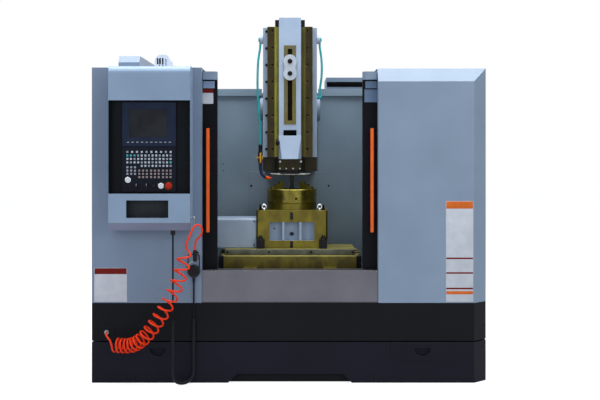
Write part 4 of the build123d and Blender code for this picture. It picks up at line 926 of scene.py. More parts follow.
@dataclass
class Studio:
    """Camera at the photograph's viewing angle, white floor, soft light."""

    eye: Point = (0.0, -7280.0, 1351.0)
    sensor_mm: float = 36.0
    lens_mm: float = 67.2
    shift: tuple[float, float] = (0.0167, -0.0833)
    far_m: float = 200.0
    floor_mm: float = 60000.0
    sky: float = 0.42
    lamps: tuple[Lamp, ...] = (
        Lamp("overhead_softbox", (0.0, -0.6, 5.6), (0.0, 0.1, 0.0), (5.0, 4.0), 400.0),
        Lamp("front_right_softbox", (3.6, -6.4, 2.9), (0.2, 0.0, 1.0), (3.4, 3.0), 88.0),
        Lamp("front_left_softbox", (-4.2, -6.0, 2.6), (-0.3, 0.0, 1.0), (3.0, 3.0), 66.0),
    )

    def build(self) -> None:
        """Set the camera, floor, world and lamps."""
        scene = bpy.context.scene
        scene.view_settings.view_transform = "Standard"
        data = bpy.data.cameras.new("camera")
        data.sensor_width, data.lens, data.clip_end = self.sensor_mm, self.lens_mm, self.far_m
        data.shift_x, data.shift_y = self.shift
        camera = bpy.data.objects.new("camera", data)
        camera.location = Vector(self.eye) * MM
        camera.rotation_euler = (math.pi / 2, 0, 0)
        scene.collection.objects.link(camera)
        scene.camera = camera
        self.floor()
        self.world()
        for lamp in self.lamps:
            lamp.hang()

    def floor(self) -> None:
        """Lay the white floor."""
        Bench.start()
        bpy.ops.mesh.primitive_plane_add(size=self.floor_mm * MM, location=ORIGIN)
        floor = bpy.context.object
        floor.name = "floor"
        floor.data.materials.append(Look.FLOOR.material())

    def world(self) -> None:
        """Set the sky: white where it is seen, softer where it lights."""
        scene = bpy.context.scene
        scene.world = scene.world or bpy.data.worlds.new("studio")
        scene.world.use_nodes = True
        tree = scene.world.node_tree
        tree.nodes.clear()
        white = linear(WHITE_LIGHT)
        light, shown = (
            add_node(tree, "ShaderNodeBackground", inputs={"Color": white, "Strength": strength})
            for strength in (self.sky, 1.0)
        )
        mixed = add_node(tree, "ShaderNodeMixShader", inputs={
            0: seen_directly(tree), 1: light.outputs[0], 2: shown.outputs[0],
        })
        add_node(tree, "ShaderNodeOutputWorld", inputs={"Surface": mixed.outputs[0]})


@dataclass
class AirLine:
    """Coiled air hose from the chip pan's port, over the console's hook, to the blow gun."""

    hose_radius: float = 5.5
    turn_radius: float = 39.5
    points_per_turn: int = 14
    turns: float = 17.9
    close_pitch: float = 26.0
    open_pitch: float = 70.0
    close_share: float = 0.2
    opening: float = 0.45
    lead_share: float = 0.15
    lead_radius: float = 0.12
    lead_pitch: float = 2.6
    length_m: float = 4.8
    tail: list[Point] = field(default_factory=lambda: [
        (-1061, -802, 296), (-1061, -824, 296), (-1058, -845, 291), (-1049, -861, 281), (-1026, -886, 262),
    ])
    axis: list[Point] = field(default_factory=lambda: [
        (-1008, -852, 232.5), (-930, -870, 226), (-868, -900, 250), (-811, -925, 301), (-755, -945, 376),
        (-704, -962, 456), (-662, -971, 537), (-628, -974, 618), (-604, -974, 698), (-589, -972, 770),
        (-580.67, -970.89, 810), (-570, -966, 848),
    ])
    loop: list[Point] = field(default_factory=lambda: [
        (-558, -955, 886), (-549, -948, 908), (-538, -943, 923), (-520, -936, 928), (-505, -930, 920),
        (-498, -925, 900), (-501, -918, 876), (-517, -910, 853), (-536, -901, 836), (-541, -900, 810),
        (-541, -900, 781),
    ])
    walk_step: float = 0.25
    muzzle: tuple[float, float] = (27.5, 37.7)

    def pitch(self, share: float) -> float:
        """Let the coil be close where it lies, and open where it hangs.

        Args:
            share: Share of the axis.

        Returns:
            The coil's relative pitch there.
        """
        opened = max(0.0, (share - self.close_share) / (1 - self.close_share))
        pitch = self.close_pitch + (self.open_pitch - self.close_pitch) * opened ** self.opening
        return pitch * (1 + (self.lead_pitch - 1) * self.lead(share))

    def lead(self, share: float) -> float:
        """Return how far the coil has gone over into its straight upper end, from 0 to 1."""
        return smooth((share - 1 + self.lead_share) / self.lead_share)

    def helix(self) -> list[Point]:
        """Wind the coil round the smooth axis from its front.

        Returns:
            The coil's control points in millimetres.
        """
        walk = Route.spaced(Route.line(self.axis), self.walk_step)
        whole = walk[-1][0]
        rates = [1 / self.pitch(done / whole) for done, _, _ in walk]
        scale = self.turns / sum(rates)
        across = Vector(FRONT)
        points: list[Point] = []
        turned = 0.0
        for (done, place, run), rate in zip(walk, rates):
            across = (across - run * across.dot(run)).normalized()
            if turned * self.points_per_turn >= len(points):
                out = self.turn_radius * (1 - (1 - self.lead_radius) * self.lead(done / whole))
                points.append(tuple(place + Quaternion(run, turned * math.tau) @ across * out))
            turned += rate * scale
        LOG.info("air hose coil: %.1f turns", turned)
        return points

    def build(self) -> None:
        """Make the hose and dress the gun."""
        hose = Route.curve("air_hose_coiled", [*self.tail, *self.helix(), *self.loop], self.hose_radius)
        hose.data.materials.append(Look.HOSE.material())
        Bench.place(hose, "frame", "hose_orange", ["air_hose", "air_hose_coil"])
        gun = Extent.of("blow_gun")
        wide, tall = self.muzzle
        muzzle = Zone(Look.STEEL, x=(gun.low.x, gun.low.x + wide), z=(gun.low.z, gun.low.z + tall))
        dress("blow_gun", Look.BLACK_ABS, muzzle)
        dress("blow_trigger", Look.DARK_STEEL)


@dataclass
class Pendant:
    """Handwheel pendant on its peg, with its cable and corrugated sleeve."""

    cable_radius: float = 5.0
    sleeve_radius: float = 10.0
    sleeve_groove: float = 1.4
    sleeve_pitch: float = 6.0
    sleeve_top: float = 373.0
    cable_length_m: float = 1.5
    wheel_gap: float = 0.3
    spinner_foot: float = 9.5
    spinner_out: float = 20.0
    tick_count: int = 50
    tick_low: Point = (-0.35, -0.25, 30.8)
    tick_high: Point = (0.35, 0.2, 34.4)
    route: list[Point] = field(default_factory=lambda: [
        (-668, -890, 867), (-668, -890, 158), (-668, -890, 12),
        (-557, -795, 12), (-557, -795, 158), (-557, -795, 584),
    ])

    def sleeve(self) -> Piece:
        """Loft the corrugated sleeve along the cable's own line.

        Returns:
            The sleeve.
        """
        walk = Route.spaced(Route.line(self.route), self.sleeve_pitch / 4)
        covered = [step for step in walk if step[1].z <= self.sleeve_top]
        groove = self.sleeve_radius - self.sleeve_groove
        radii = cycle((self.sleeve_radius, self.sleeve_radius, groove, groove))
        rings = [(place, run, radius) for (_, place, run), radius in zip(covered, radii)]
        return Bench.loft("pendant_sleeve", rings, Look.SLEEVE)

    def wheel(self) -> list[Piece]:
        """Model the handwheel with its spinner, and the ring of marks round it.

        Returns:
            Wheel, spinner and marks.
        """
        dial = Extent.of("pendant_dial")
        body = Extent.of("pendant_body")
        x, z = dial.middle.x, dial.middle.z
        face = body.low.y
        wheel = Bench.turned("pendant_handwheel", (x, face - self.wheel_gap, z), FRONT, [
            (29, 0), (29, 3), (28.4, 3.6), (28.4, 5), (29, 5.6), (29, 8), (27.6, 10),
            (21, 10), (20, 8.6), (9, 8.6), (8, 10), (6, 10.4),
        ], Look.BLACK_ABS, sides=64)
        foot = (x, face - self.spinner_foot, z + self.spinner_out)
        spinner = Bench.turned("pendant_spinner", foot, FRONT, [
            (3.4, 0), (3.4, 2), (5, 3), (5, 8), (4, 9.2), (2, 9.4),
        ], Look.BLACK_ABS, sides=20)
        Bench.place(wheel, "dial", "plastic_black", ["pendant_dial"])
        Bench.place(spinner, "dial", "plastic_black")
        tick = Bench.block("tick", self.tick_low, self.tick_high, 0.1, Look.MARK, 1)
        put = Matrix.Translation(Vector((x, face, z)) * MM)
        turn = math.tau / self.tick_count
        moves = [put @ Matrix.Rotation(turn * i, 4, "Y") for i in range(self.tick_count)]
        marks = Bench.place(Bench.arrange("pendant_marks", tick, moves), "frame", "plastic_black")
        return [wheel, spinner, marks]

    def build(self) -> None:
        """Make the cable and sleeve, and dress the case and handwheel."""
        cable = Route.curve("pendant_lead", self.route, self.cable_radius)
        cable.data.materials.append(Look.RUBBER.material())
        Bench.place(cable, "frame", "cable_black", ["pendant_cable"])
        sleeve = Bench.place(self.sleeve(), "frame", "cable_black", ["pendant_conduit"])
        dress("pendant_body", Look.BLACK_ABS)
        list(self.wheel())


@dataclass
class Enclosure:
    """Sheet-metal cabin: shells, base, sill, rear wall, roof parts and blank plates."""

    plate_thickness: float = 1.2
    left_plate: Area = ((-1136.0, -946.0), (470.0, 667.0))
    right_plate: Area = ((905.0, 1064.0), (470.0, 1055.0))
    band_inset: float = 2.0
    band_thickness: float = 0.4
    left_band: float = 36.0
    right_band: float = 44.0
    foot_band: float = 18.0
    foot_band_rise: float = 44.0
    thin_band: float = 9.0
    thin_drops: tuple[float, ...] = (328.0, 413.0, 503.0)
    peg_clear: float = 1.0
    port_clear: float = 7.0
    # Dark sheet of painted shadow in the fork arch.
    arch_half: float = 364.0
    arch_rise: float = 2.0
    arch_top: float = 62.0
    arch_set_back: float = 30.0
    arch_sheet: float = 3.0
    cowl_width: float = 97.0
    cowl_set_back: float = 50.0
    slot_x: tuple[float, ...] = (-803.0, -787.0, -771.0)
    slot_size: Point = (9.0, 0.6, 38.0)
    slot_proud: float = 0.4
    slot_base_z: float = 1868.0
    wall_bolts: Grid = ((-259.0, 259.0), (1112.0, 720.0))
    sheet_rivets: Grid = ((-448.0,), (1257.0, 1213.0))
    wall_sheet: float = 4.0
    lid_height: float = 30.0
    # Black strip of painted shadow under the cabinet's lid.
    lid_shadow_height: float = 34.0
    lid_shadow_proud: float = 2.0
    lid_shadow_inset: float = 4.0
    lid_shadow_sunk: float = 0.4

    def build(self) -> None:
        """Dress the sheet metal and add the plates."""
        shell = Extent.of("left_shell")
        pan = Extent.of("chip_pan")
        plinth = Extent.of("plinth")
        duct = Extent.of("roof_duct")
        coat(Look.CABINET, "right_shell", "electrical_cabinet", "electrical_door")
        coat(Look.PLINTH, "plinth", "tray_covers")
        coat(Look.SILL, "front_sill")
        coat(Look.WALL, "rear_wall")
        peg = Zone(Look.CHROME, y=(shell.low.y, plinth.low.y - self.peg_clear))
        # The left shell takes the cabinet enamel darkened with painted shade.
        dress("left_shell", Look.CABINET_PAINTED_SHADE, peg)
        dress("chip_pan", Look.BASE, Zone(Look.STEEL, y=(pan.low.y, plinth.low.y - self.port_clear)))
        dress(
            # The duct's right-facing side is darkened with painted shade.
            "roof_duct", Look.CABINET, Zone(Look.CABINET_PAINTED_SHADE, facing=RIGHTWARD),
            Zone(Look.COWL, x=(duct.high.x - self.cowl_width, duct.high.x)),
        )
        red, orange = (Look.PLATE_RED, "button_red"), (Look.PLATE_ORANGE, "handle_orange")
        self.blank_plate("left_blank_plate", self.left_plate, [(*red, 0.0, self.left_band)])
        base, top = self.right_plate[1]
        self.blank_plate("right_blank_plate", self.right_plate, [
            (*orange, 0.0, self.right_band),
            *((*red, drop, self.thin_band) for drop in self.thin_drops),
            (*orange, top - base - self.foot_band_rise - self.foot_band, self.foot_band),
        ])
        self.arch_panel()
        self.cowl_slots()
        self.lid_gap()
        self.wall_fixings()

    def blank_plate(self, name: str, area: Area, bands: list[tuple[Finish, str, float, float]]) -> None:
        """Fix a blank plate with plain colour bands on the shells' front.

        Args:
            name: Piece name.
            area: Left and right edge, and lower and upper edge.
            bands: Finish, slot, distance from the top and height of each band.
        """
        (left, right), (base, top) = area
        front = Extent.of("right_shell").low.y
        face = front - self.plate_thickness
        inset = self.band_inset
        sheet = Bench.block(name, (left, face, base), (right, front, top), 0.4, Look.PLATE)
        Bench.place(sheet, "frame", "button_white")
        for index, (finish, slot, drop, height) in enumerate(bands):
            low = (left + inset, face - self.band_thickness, top - drop - height)
            high = (right - inset, face, top - max(drop, inset))
            Bench.place(Bench.block(f"{name}_band_{index}", low, high, 0.15, finish), "frame", slot)

    def arch_panel(self) -> None:
        """Set a dark sheet a little behind the plinth's front, that fills the fork arch with painted shadow
        from under the machine.
        """
        plinth = Extent.of("plinth")
        back = plinth.low.y + self.arch_set_back
        low = (-self.arch_half, back, plinth.low.z + self.arch_rise)
        high = (self.arch_half, back + self.arch_sheet, self.arch_top)
        Bench.place(Bench.block("fork_arch_painted_shadow", low, high, 0.5, Look.BASE), "frame", "base_paint")

    def cowl_slots(self) -> None:
        """Give the cowl's front the look of three vent slots: dark strips of painted shade."""
        front = Extent.of("roof_duct").low.y + self.cowl_set_back
        slot = Bench.block("cowl_slot", (0, -self.slot_proud, 0), self.slot_size, 0.3, Look.POCKET, 1)
        places = [(x, front, self.slot_base_z) for x in self.slot_x]
        Bench.row("cowl_slots", slot, places, slot="plastic_black")

    def lid_gap(self) -> None:
        """Lay a black strip of painted shadow under the electrical cabinet's lid, where it shows above the
        rear wall.
        """
        box = Extent.of("electrical_cabinet")
        top = box.high.z - self.lid_height
        low = (box.low.x + self.lid_shadow_inset, box.low.y - self.lid_shadow_proud, top - self.lid_shadow_height)
        high = (box.high.x - self.lid_shadow_inset, box.low.y + self.lid_shadow_sunk, top)
        Bench.place(Bench.block("cabinet_lid_painted_shadow", low, high, 0.8, Look.VOID), "frame", "plastic_black")

    def wall_fixings(self) -> None:
        """Set the screws that hold the rear wall's sheets."""
        sheet = Extent.of("rear_wall").high.y - self.wall_sheet
        for name, head, y, (across, rises) in (
            ("splash_screws", (7.0, 5.0), sheet - self.wall_sheet, self.wall_bolts),
            ("wall_screws", (4.0, 2.5), sheet, self.sheet_rivets),
        ):
            Bench.row(name, socket_head(*head), [(x, y, z) for z in rises for x in across])


@dataclass
class SlidingDoor:
    """One sliding door with its cap, pane and handle."""

    side: Side
    cap_height: float = 48.0
    cap_plate_height: float = 52.0
    cap_length: float = 88.0
    cap_proud: float = 17.0
    grip_over: Point = (0.6, 1.0, 0.3)
    grip_bevel: float = 4.5
    grip_depth: float = 13.0
    leaf_front: float = -692.0
    label_thickness: float = 0.6
    label_gap: float = 0.05
    label_x: Span = (451.0, 514.0)
    label_z: Span = (1623.0, 1711.0)
    label_band: float = 24.0
    band_proud: float = 0.2
    slate_x: Span = (438.0, 514.0)
    slate_z: Span = (1632.0, 1708.0)

    def build(self) -> None:
        """Dress the leaf and pane, round the handle's grip and fix the blank plate."""
        word = self.side.word
        leaf = Extent.of(f"{word}_door")
        handle = Extent.of(f"{word}_handle")
        lead = leaf.high.x if self.side is Side.LEFT else leaf.low.x
        far = lead + self.side.value * self.cap_length
        across = (min(lead, far), max(lead, far))
        joint = leaf.high.z - self.cap_height
        proud = (leaf.low.y, leaf.low.y + self.cap_proud)
        cap_plate = Look.CAP_PLATE if self.side is Side.LEFT else Look.SLATE_PLATE
        dress(
            f"{word}_door", Look.DOOR,
            Zone(Look.CAP, x=across, z=(joint, leaf.high.z)),
            Zone(cap_plate, x=across, y=proud, z=(joint - self.cap_plate_height, joint - 1)),
        )
        dress(f"{word}_window", Look.PANE)
        dress(f"{word}_handle", Look.DARK_STEEL)
        over = Vector(self.grip_over)
        low = handle.low - over
        high = Vector((handle.high.x + over.x, handle.low.y + self.grip_depth, handle.high.z + over.z))
        grip = Bench.block(f"{word}_handle_grip", low, high, self.grip_bevel, Look.ORANGE_GRIP, 4)
        Bench.place(grip, f"{word}_door", "handle_orange")
        if self.side is Side.LEFT:
            self.label("left_door_plate", self.label_x, self.label_z, Look.PLATE, "button_white")
            band = (self.label_z[1] - self.label_band, self.label_z[1])
            finish = Look.PLATE_RED
            self.label("left_door_plate_band", self.label_x, band, finish, "button_red", self.band_proud)
        else:
            self.label("right_door_plate", self.slate_x, self.slate_z, Look.SLATE_PLATE, "console_paint")

    def label(
        self, name: str, across: Span, rise: Span, finish: Finish, slot: str, proud: float = 0.0
    ) -> None:
        """Fix a thin blank plate on the leaf's front.

        Args:
            name: Piece name.
            across: Distance of its edges from the middle of the machine.
            rise: Its lower and upper edge.
            finish: Finish of the plate.
            slot: Material slot of the record.
            proud: How far it stands in front of a plain plate.
        """
        edges = sorted(self.side.value * x for x in across)
        low = (edges[0] - proud, self.leaf_front - self.label_thickness - proud, rise[0])
        high = (edges[1] + proud, self.leaf_front - self.label_gap, rise[1] + proud)
        Bench.place(Bench.block(name, low, high, 0.1, finish, 1), f"{self.side.word}_door", slot)


@dataclass
class Console:
    """Operator console: box, display, keys, buttons and knobs."""

    recess_z: Span = (1104.0, 1632.0)
    lip: float = 0.6
    hook_reach: float = 26.5
    hook_z: Span = (8.0, 100.0)
    gland_height: float = 25.6
    fold_turn: float = 0.85
    fold_up: Point = (0.0, -0.7, 0.7)
    fold_down: Point = (0.0, -0.7, -0.7)
    pocket_depth: float = 20.0
    keypad_thickness: float = 14.0
    collar: float = 8.0
    trim: Span = (1.0, 6.0)
    trim_proud: float = 0.4
    pocket_x: Span = (-926.0, -688.0)
    pocket_z: Span = (967.0, 1066.0)
    key: float = 11.8
    key_proud: float = 2.6
    key_sunk: float = 0.2
    top_keys: int = 10
    top_row: float = 226.0
    top_pitch: float = 27.3
    main_row: float = 147.0
    main_step: float = 19.6
    main_columns: int = 13
    main_rows: int = 4
    blank_keys: int = 4
    teal_keys: int = 3
    main_pitch: float = 20.5
    groups: int = 4
    group_side: int = 3
    group_row: float = 83.0
    group_step: float = 18.6
    group_pitch: float = 67.3
    group_key_pitch: float = 21.5
    soft_count: int = 10
    soft_pitch: float = 26.4
    soft_rise: float = 23.0
    soft_size: tuple[float, float] = (14.0, 5.6)
    shell: float = 4.5
    stem_sunk: float = 4.0
    pointer_low: Point = (-0.9, -0.6, 2.0)
    pointer_high: Point = (0.9, 0.2, 12.0)

    def build(self) -> None:
        """Dress the CAD pieces and model keys and knobs."""
        box = Extent.of("control_box")
        unit = Extent.of("keypad")
        stop = Extent.of("estop_button")
        feed = Extent.of("feed_knob")
        start = Extent.of("start_button")
        floor_y = unit.high.y
        rim = box.low.y + self.lip
        side = box.high.x - self.hook_reach
        gland = box.low.z + self.gland_height
        dress(
            "control_box", Look.CONSOLE,
            # The upward fold gets painted highlight, the downward fold painted shade.
            Zone(Look.CONSOLE_PAINTED_HIGHLIGHT, facing=self.fold_up, turn=self.fold_turn),
            Zone(Look.CONSOLE_PAINTED_SHADE, facing=self.fold_down, turn=self.fold_turn),
            Zone(Look.FASCIA, (box.low.x + self.shell, side - self.shell), (rim, floor_y), self.recess_z),
            # The console's pocket is darkened with painted shade.
            Zone(Look.POCKET, self.pocket_x, (rim, floor_y + self.pocket_depth), self.pocket_z),
            Zone(Look.BLACK_ABS, z=(box.low.z, gland)),
            Zone(Look.STEEL, x=(side + self.lip, box.high.x), z=shifted(self.hook_z, gland)),
        )
        coat(Look.NAVY, "display_unit")
        coat(Look.SCREEN, "display_glass")
        face = unit.high.y - self.keypad_thickness
        proud = (unit.low.y, face - self.lip)
        wide = (stop.low.x - self.collar, stop.high.x + self.collar)
        tall = (stop.low.z - self.collar, stop.high.z + self.collar)
        dress(
            "keypad", Look.KEYPAD,
            # The e-stop's collar takes yellow darkened with painted shade.
            Zone(Look.YELLOW, wide, proud, tall),
            Zone(Look.BLACK_ABS, (feed.high.x + self.collar, start.low.x - self.collar), proud),
        )
        self.keys(unit, face)
        self.buttons(face)
        inner, outer = self.trim
        self.edge_trim("left", box.low.x + inner, box.low.x + outer)
        self.edge_trim("right", side - outer, side - inner)

    def edge_trim(self, word: str, left: float, right: float) -> None:
        """Close one side of the panel recess with a thin black trim on the box's rim.

        Args:
            word: Side of the console.
            left: X of the trim's left edge.
            right: X of the trim's right edge.
        """
        rim = Extent.of("control_box").low.y
        base, top = self.recess_z
        low, high = (left, rim - self.trim_proud, base), (right, rim + self.lip, top)
        Bench.place(Bench.block(f"{word}_panel_trim", low, high, 0.25, Look.FASCIA), "frame", "plastic_black")

    def keys(self, unit: Extent, face: float) -> None:
        """Model a key cap and copy it over the rows, tone by tone.

        Args:
            unit: Box of the keypad.
            face: Y of the keypad's front.
        """
        middle, base = unit.middle.x, unit.low.z
        tones: dict[Finish, list[Point]] = {
            Look.KEY_WHITE: [], Look.KEY_GREY: [], Look.KEY_WARM: [], Look.KEY_TEAL: [],
        }
        # White and grey keys mix in no plain order: about one in three or four is grey.
        for i, x in enumerate(spread(self.top_keys, self.top_pitch, middle)):
            tones[Look.KEY_WHITE if i % 4 else Look.KEY_GREY].append((x, face, base + self.top_row))
        for row in range(self.main_rows):
            for i, x in enumerate(spread(self.main_columns, self.main_pitch, middle)):
                if row == 0 and i < self.blank_keys:
                    continue
                top_left = row == self.main_rows - 1 and i < self.teal_keys
                enter = row == 1 and i == self.main_columns - 1
                tone = Look.KEY_WHITE if (i * 7 + row * 5) % 3 else Look.KEY_GREY
                tone = Look.KEY_TEAL if top_left or enter else tone
                tones[tone].append((x, face, base + self.main_row + self.main_step * row))
        for g, group in enumerate(spread(self.groups, self.group_pitch, middle)):
            rise = self.group_row if g else self.group_row + self.group_step
            tone = Look.KEY_WARM if g else Look.KEY_GREY
            for x in spread(self.group_side, self.group_key_pitch, group):
                for row in range(self.group_side):
                    tones[tone].append((x, face, base + rise + self.group_step * row))
        for finish, places in tones.items():
            self.caps(f"keys_{finish.name}", (self.key, self.key), 1.2, finish, places)
        z = Extent.of("display_unit").low.z + self.soft_rise
        places = [(x, face, z) for x in spread(self.soft_count, self.soft_pitch, middle)]
        self.caps("soft_keys", self.soft_size, 1.0, Look.KEY_GREY, places)

    def caps(
        self, name: str, size: tuple[float, float], bevel: float, finish: Finish, places: list[Point]
    ) -> None:
        """Model a key cap and copy it to its places.

        Args:
            name: Piece name.
            size: Width and height of the cap.
            bevel: Width of its edges' bevel.
            finish: Finish of the cap.
            places: Middles of the keys on the panel's front.
        """
        across, high = (side / 2 for side in size)
        low = (-across, -self.key_proud, -high)
        cap = Bench.block("key_cap", low, (across, self.key_sunk, high), bevel, finish)
        Bench.row(name, cap, places, slot="button_white")

    def buttons(self, face: float) -> None:
        """Model the emergency stop, the two push buttons' rings and the knobs' marks.

        Args:
            face: Y of the keypad's front.
        """
        stop = Extent.of("estop_button").middle
        mushroom = Bench.turned("estop_mushroom", (stop.x, face + self.stem_sunk, stop.z), FRONT, [
            (8, 0), (8, 13.3), (17, 13.3), (20, 15.5), (20.2, 19), (19.4, 23),
            (17, 26), (12, 28.4), (6, 29.3), (2, 29.4),
        ], Look.RED)
        Bench.place(mushroom, "estop", "button_red", ["estop_button"])
        for word in ("start", "stop"):
            button = Extent.of(f"{word}_button").middle
            rings = [(16.5, 0), (16.5, 1.6), (15, 2.8), (13.6, 2.8), (13.5, 0.2)]
            bezel = Bench.turned(f"{word}_bezel", (button.x, face, button.z), FRONT, rings, Look.CHROME)
            Bench.place(bezel, "frame", "steel")
            dress(f"{word}_button", Look.WHITE)
        for word in ("mode", "feed"):
            dress(f"{word}_knob", Look.BLACK_ABS)
            knob = Extent.of(f"{word}_knob")
            front = Vector((knob.middle.x, knob.low.y, knob.middle.z))
            low, high = front + Vector(self.pointer_low), front + Vector(self.pointer_high)
            mark = Bench.block(f"{word}_pointer", low, high, 0.2, Look.WHITE)
            Bench.place(mark, f"{word}_selector", "button_white")


@dataclass
class WorkTable:
    """Bed, slides, rotary unit, chuck and the fittings on them."""

    rail_screws: tuple[float, ...] = (-385.0, -130.0, 130.0, 385.0)
    rail_rise: float = 17.4
    rail_depth: float = 8.0
    level_turn: float = 0.9
    window_x: Span = (-126.5, 150.5)
    window_z: Span = (790.6, 903.6)
    window_depth: float = 50.0
    cover_screws: tuple[float, ...] = (762.0, 908.0)
    cover_inset: float = 13.0
    mark_x: Span = (1.0, 19.0)
    mark_y: Span = (-3.0, 1.0)
    upper_gaps: Span = (16.0, 12.0)
    lower_gaps: Span = (4.0, 5.0)
    plug: tuple[float, float] = (-97.0, 861.0)
    knob: Point = (12.0, -10.6, 829.0)
    socket_x: Span = (24.0, 54.0)
    socket_y: Span = (8.0, 60.0)
    socket_z: Span = (1032.0, 1062.0)
    stud_out: float = 6.0

    def build(self) -> None:
        """Dress the castings and add the screws that show."""
        saddle = Extent.of("saddle")
        table = Extent.of("table")
        base = Extent.of("rotary_base")
        chuck = Extent.of("chuck_body")
        coat(Look.IRON, "bed", "rotary_plate")
        coat(Look.CHUCK, "jaw_1", "jaw_2", "jaw_3")
        coat(Look.DARK_STEEL, "clamp_bolts", "levelling_pads")
        coat(Look.CHROME, "eyebolts")
        coat(Look.CASTING, "motor_cover")
        # Upward faces of saddle and table get a painted highlight.
        level = Zone(Look.SLIDE_TOP_PAINTED_HIGHLIGHT, facing=UPWARD, turn=self.level_turn)
        ends = ((saddle.low.x, table.low.x), (table.high.x, saddle.high.x))
        dress("saddle", Look.SADDLE, level, *(Zone(Look.DARK_STEEL, x=end) for end in ends))
        dress("table", Look.IRON, level, Zone(Look.RAIL, y=(table.low.y, table.low.y + self.rail_depth)))
        window_y = (base.low.y, base.low.y + self.window_depth)
        dress("rotary_base", Look.IRON, Zone(Look.CASTING, self.window_x, window_y, self.window_z))
        sockets = Zone(Look.VOID, self.socket_x, shifted(self.socket_y, chuck.low.y), self.socket_z)
        dress("chuck_body", Look.CHUCK, sockets)
        self.studs()
        self.screws()
        self.centre_marks()

    def screws(self) -> None:
        """Set the screws of the table's dog rail and of the motor cover."""
        table = Extent.of("table")
        places = [(x, table.low.y, table.low.z + self.rail_rise) for x in self.rail_screws]
        Bench.row("dog_rail_screws", socket_head(6.5, 3.0), places, "work_table")
        cover = Extent.of("motor_cover")
        places = [(cover.high.x - self.cover_inset, cover.low.y, z) for z in self.cover_screws]
        Bench.row("motor_cover_screws", socket_head(5.0, 3.0), places, "work_table")

    def studs(self) -> None:
        """Set the two black studs beside the lifting eyes, on the rotary unit's housing."""
        eyes = Extent.of("eyebolts")
        top = Extent.of("rotary_base").high.z
        stud = Bench.turned("stud", ORIGIN, UPWARD, [
            (9, 0), (9, 9), (6, 9.4), (6, 33), (5, 34),
        ], Look.BLACK_OXIDE, sides=24)
        across = (eyes.low.x - self.stud_out, eyes.high.x + self.stud_out)
        Bench.row("housing_studs", stud, [(x, eyes.middle.y, top) for x in across], "work_table")

    def centre_marks(self) -> None:
        """Set the dark centring keys above and below the housing's window, and the plug and knob in it."""
        base = Extent.of("rotary_base")
        (left, right), (out, sunk) = self.mark_x, self.mark_y
        front = base.low.y
        for word, low, high in (
            ("upper", self.window_z[1] + self.upper_gaps[0], base.high.z - self.upper_gaps[1]),
            ("lower", base.low.z + self.lower_gaps[0], self.window_z[0] - self.lower_gaps[1]),
        ):
            corners = (left, front + out, low), (right, front + sunk, high)
            key = Bench.block(f"{word}_centring_key", *corners, 1.2, Look.DARK_STEEL)
            Bench.place(key, "work_table", "tool_steel")
        floor = front + self.window_depth
        x, z = self.plug
        Bench.row("window_plug", socket_head(5.0, 3.0), [(x, floor, z)], "work_table")
        x, proud, z = self.knob
        knob = Bench.turned("window_knob", (x, floor + proud, z), FRONT, [
            (10, 0), (12, 1), (12, 4), (10.5, 5.4), (5, 5.6), (4.4, 4.2),
        ], Look.DARK_STEEL)
        Bench.place(knob, "work_table", "tool_steel")


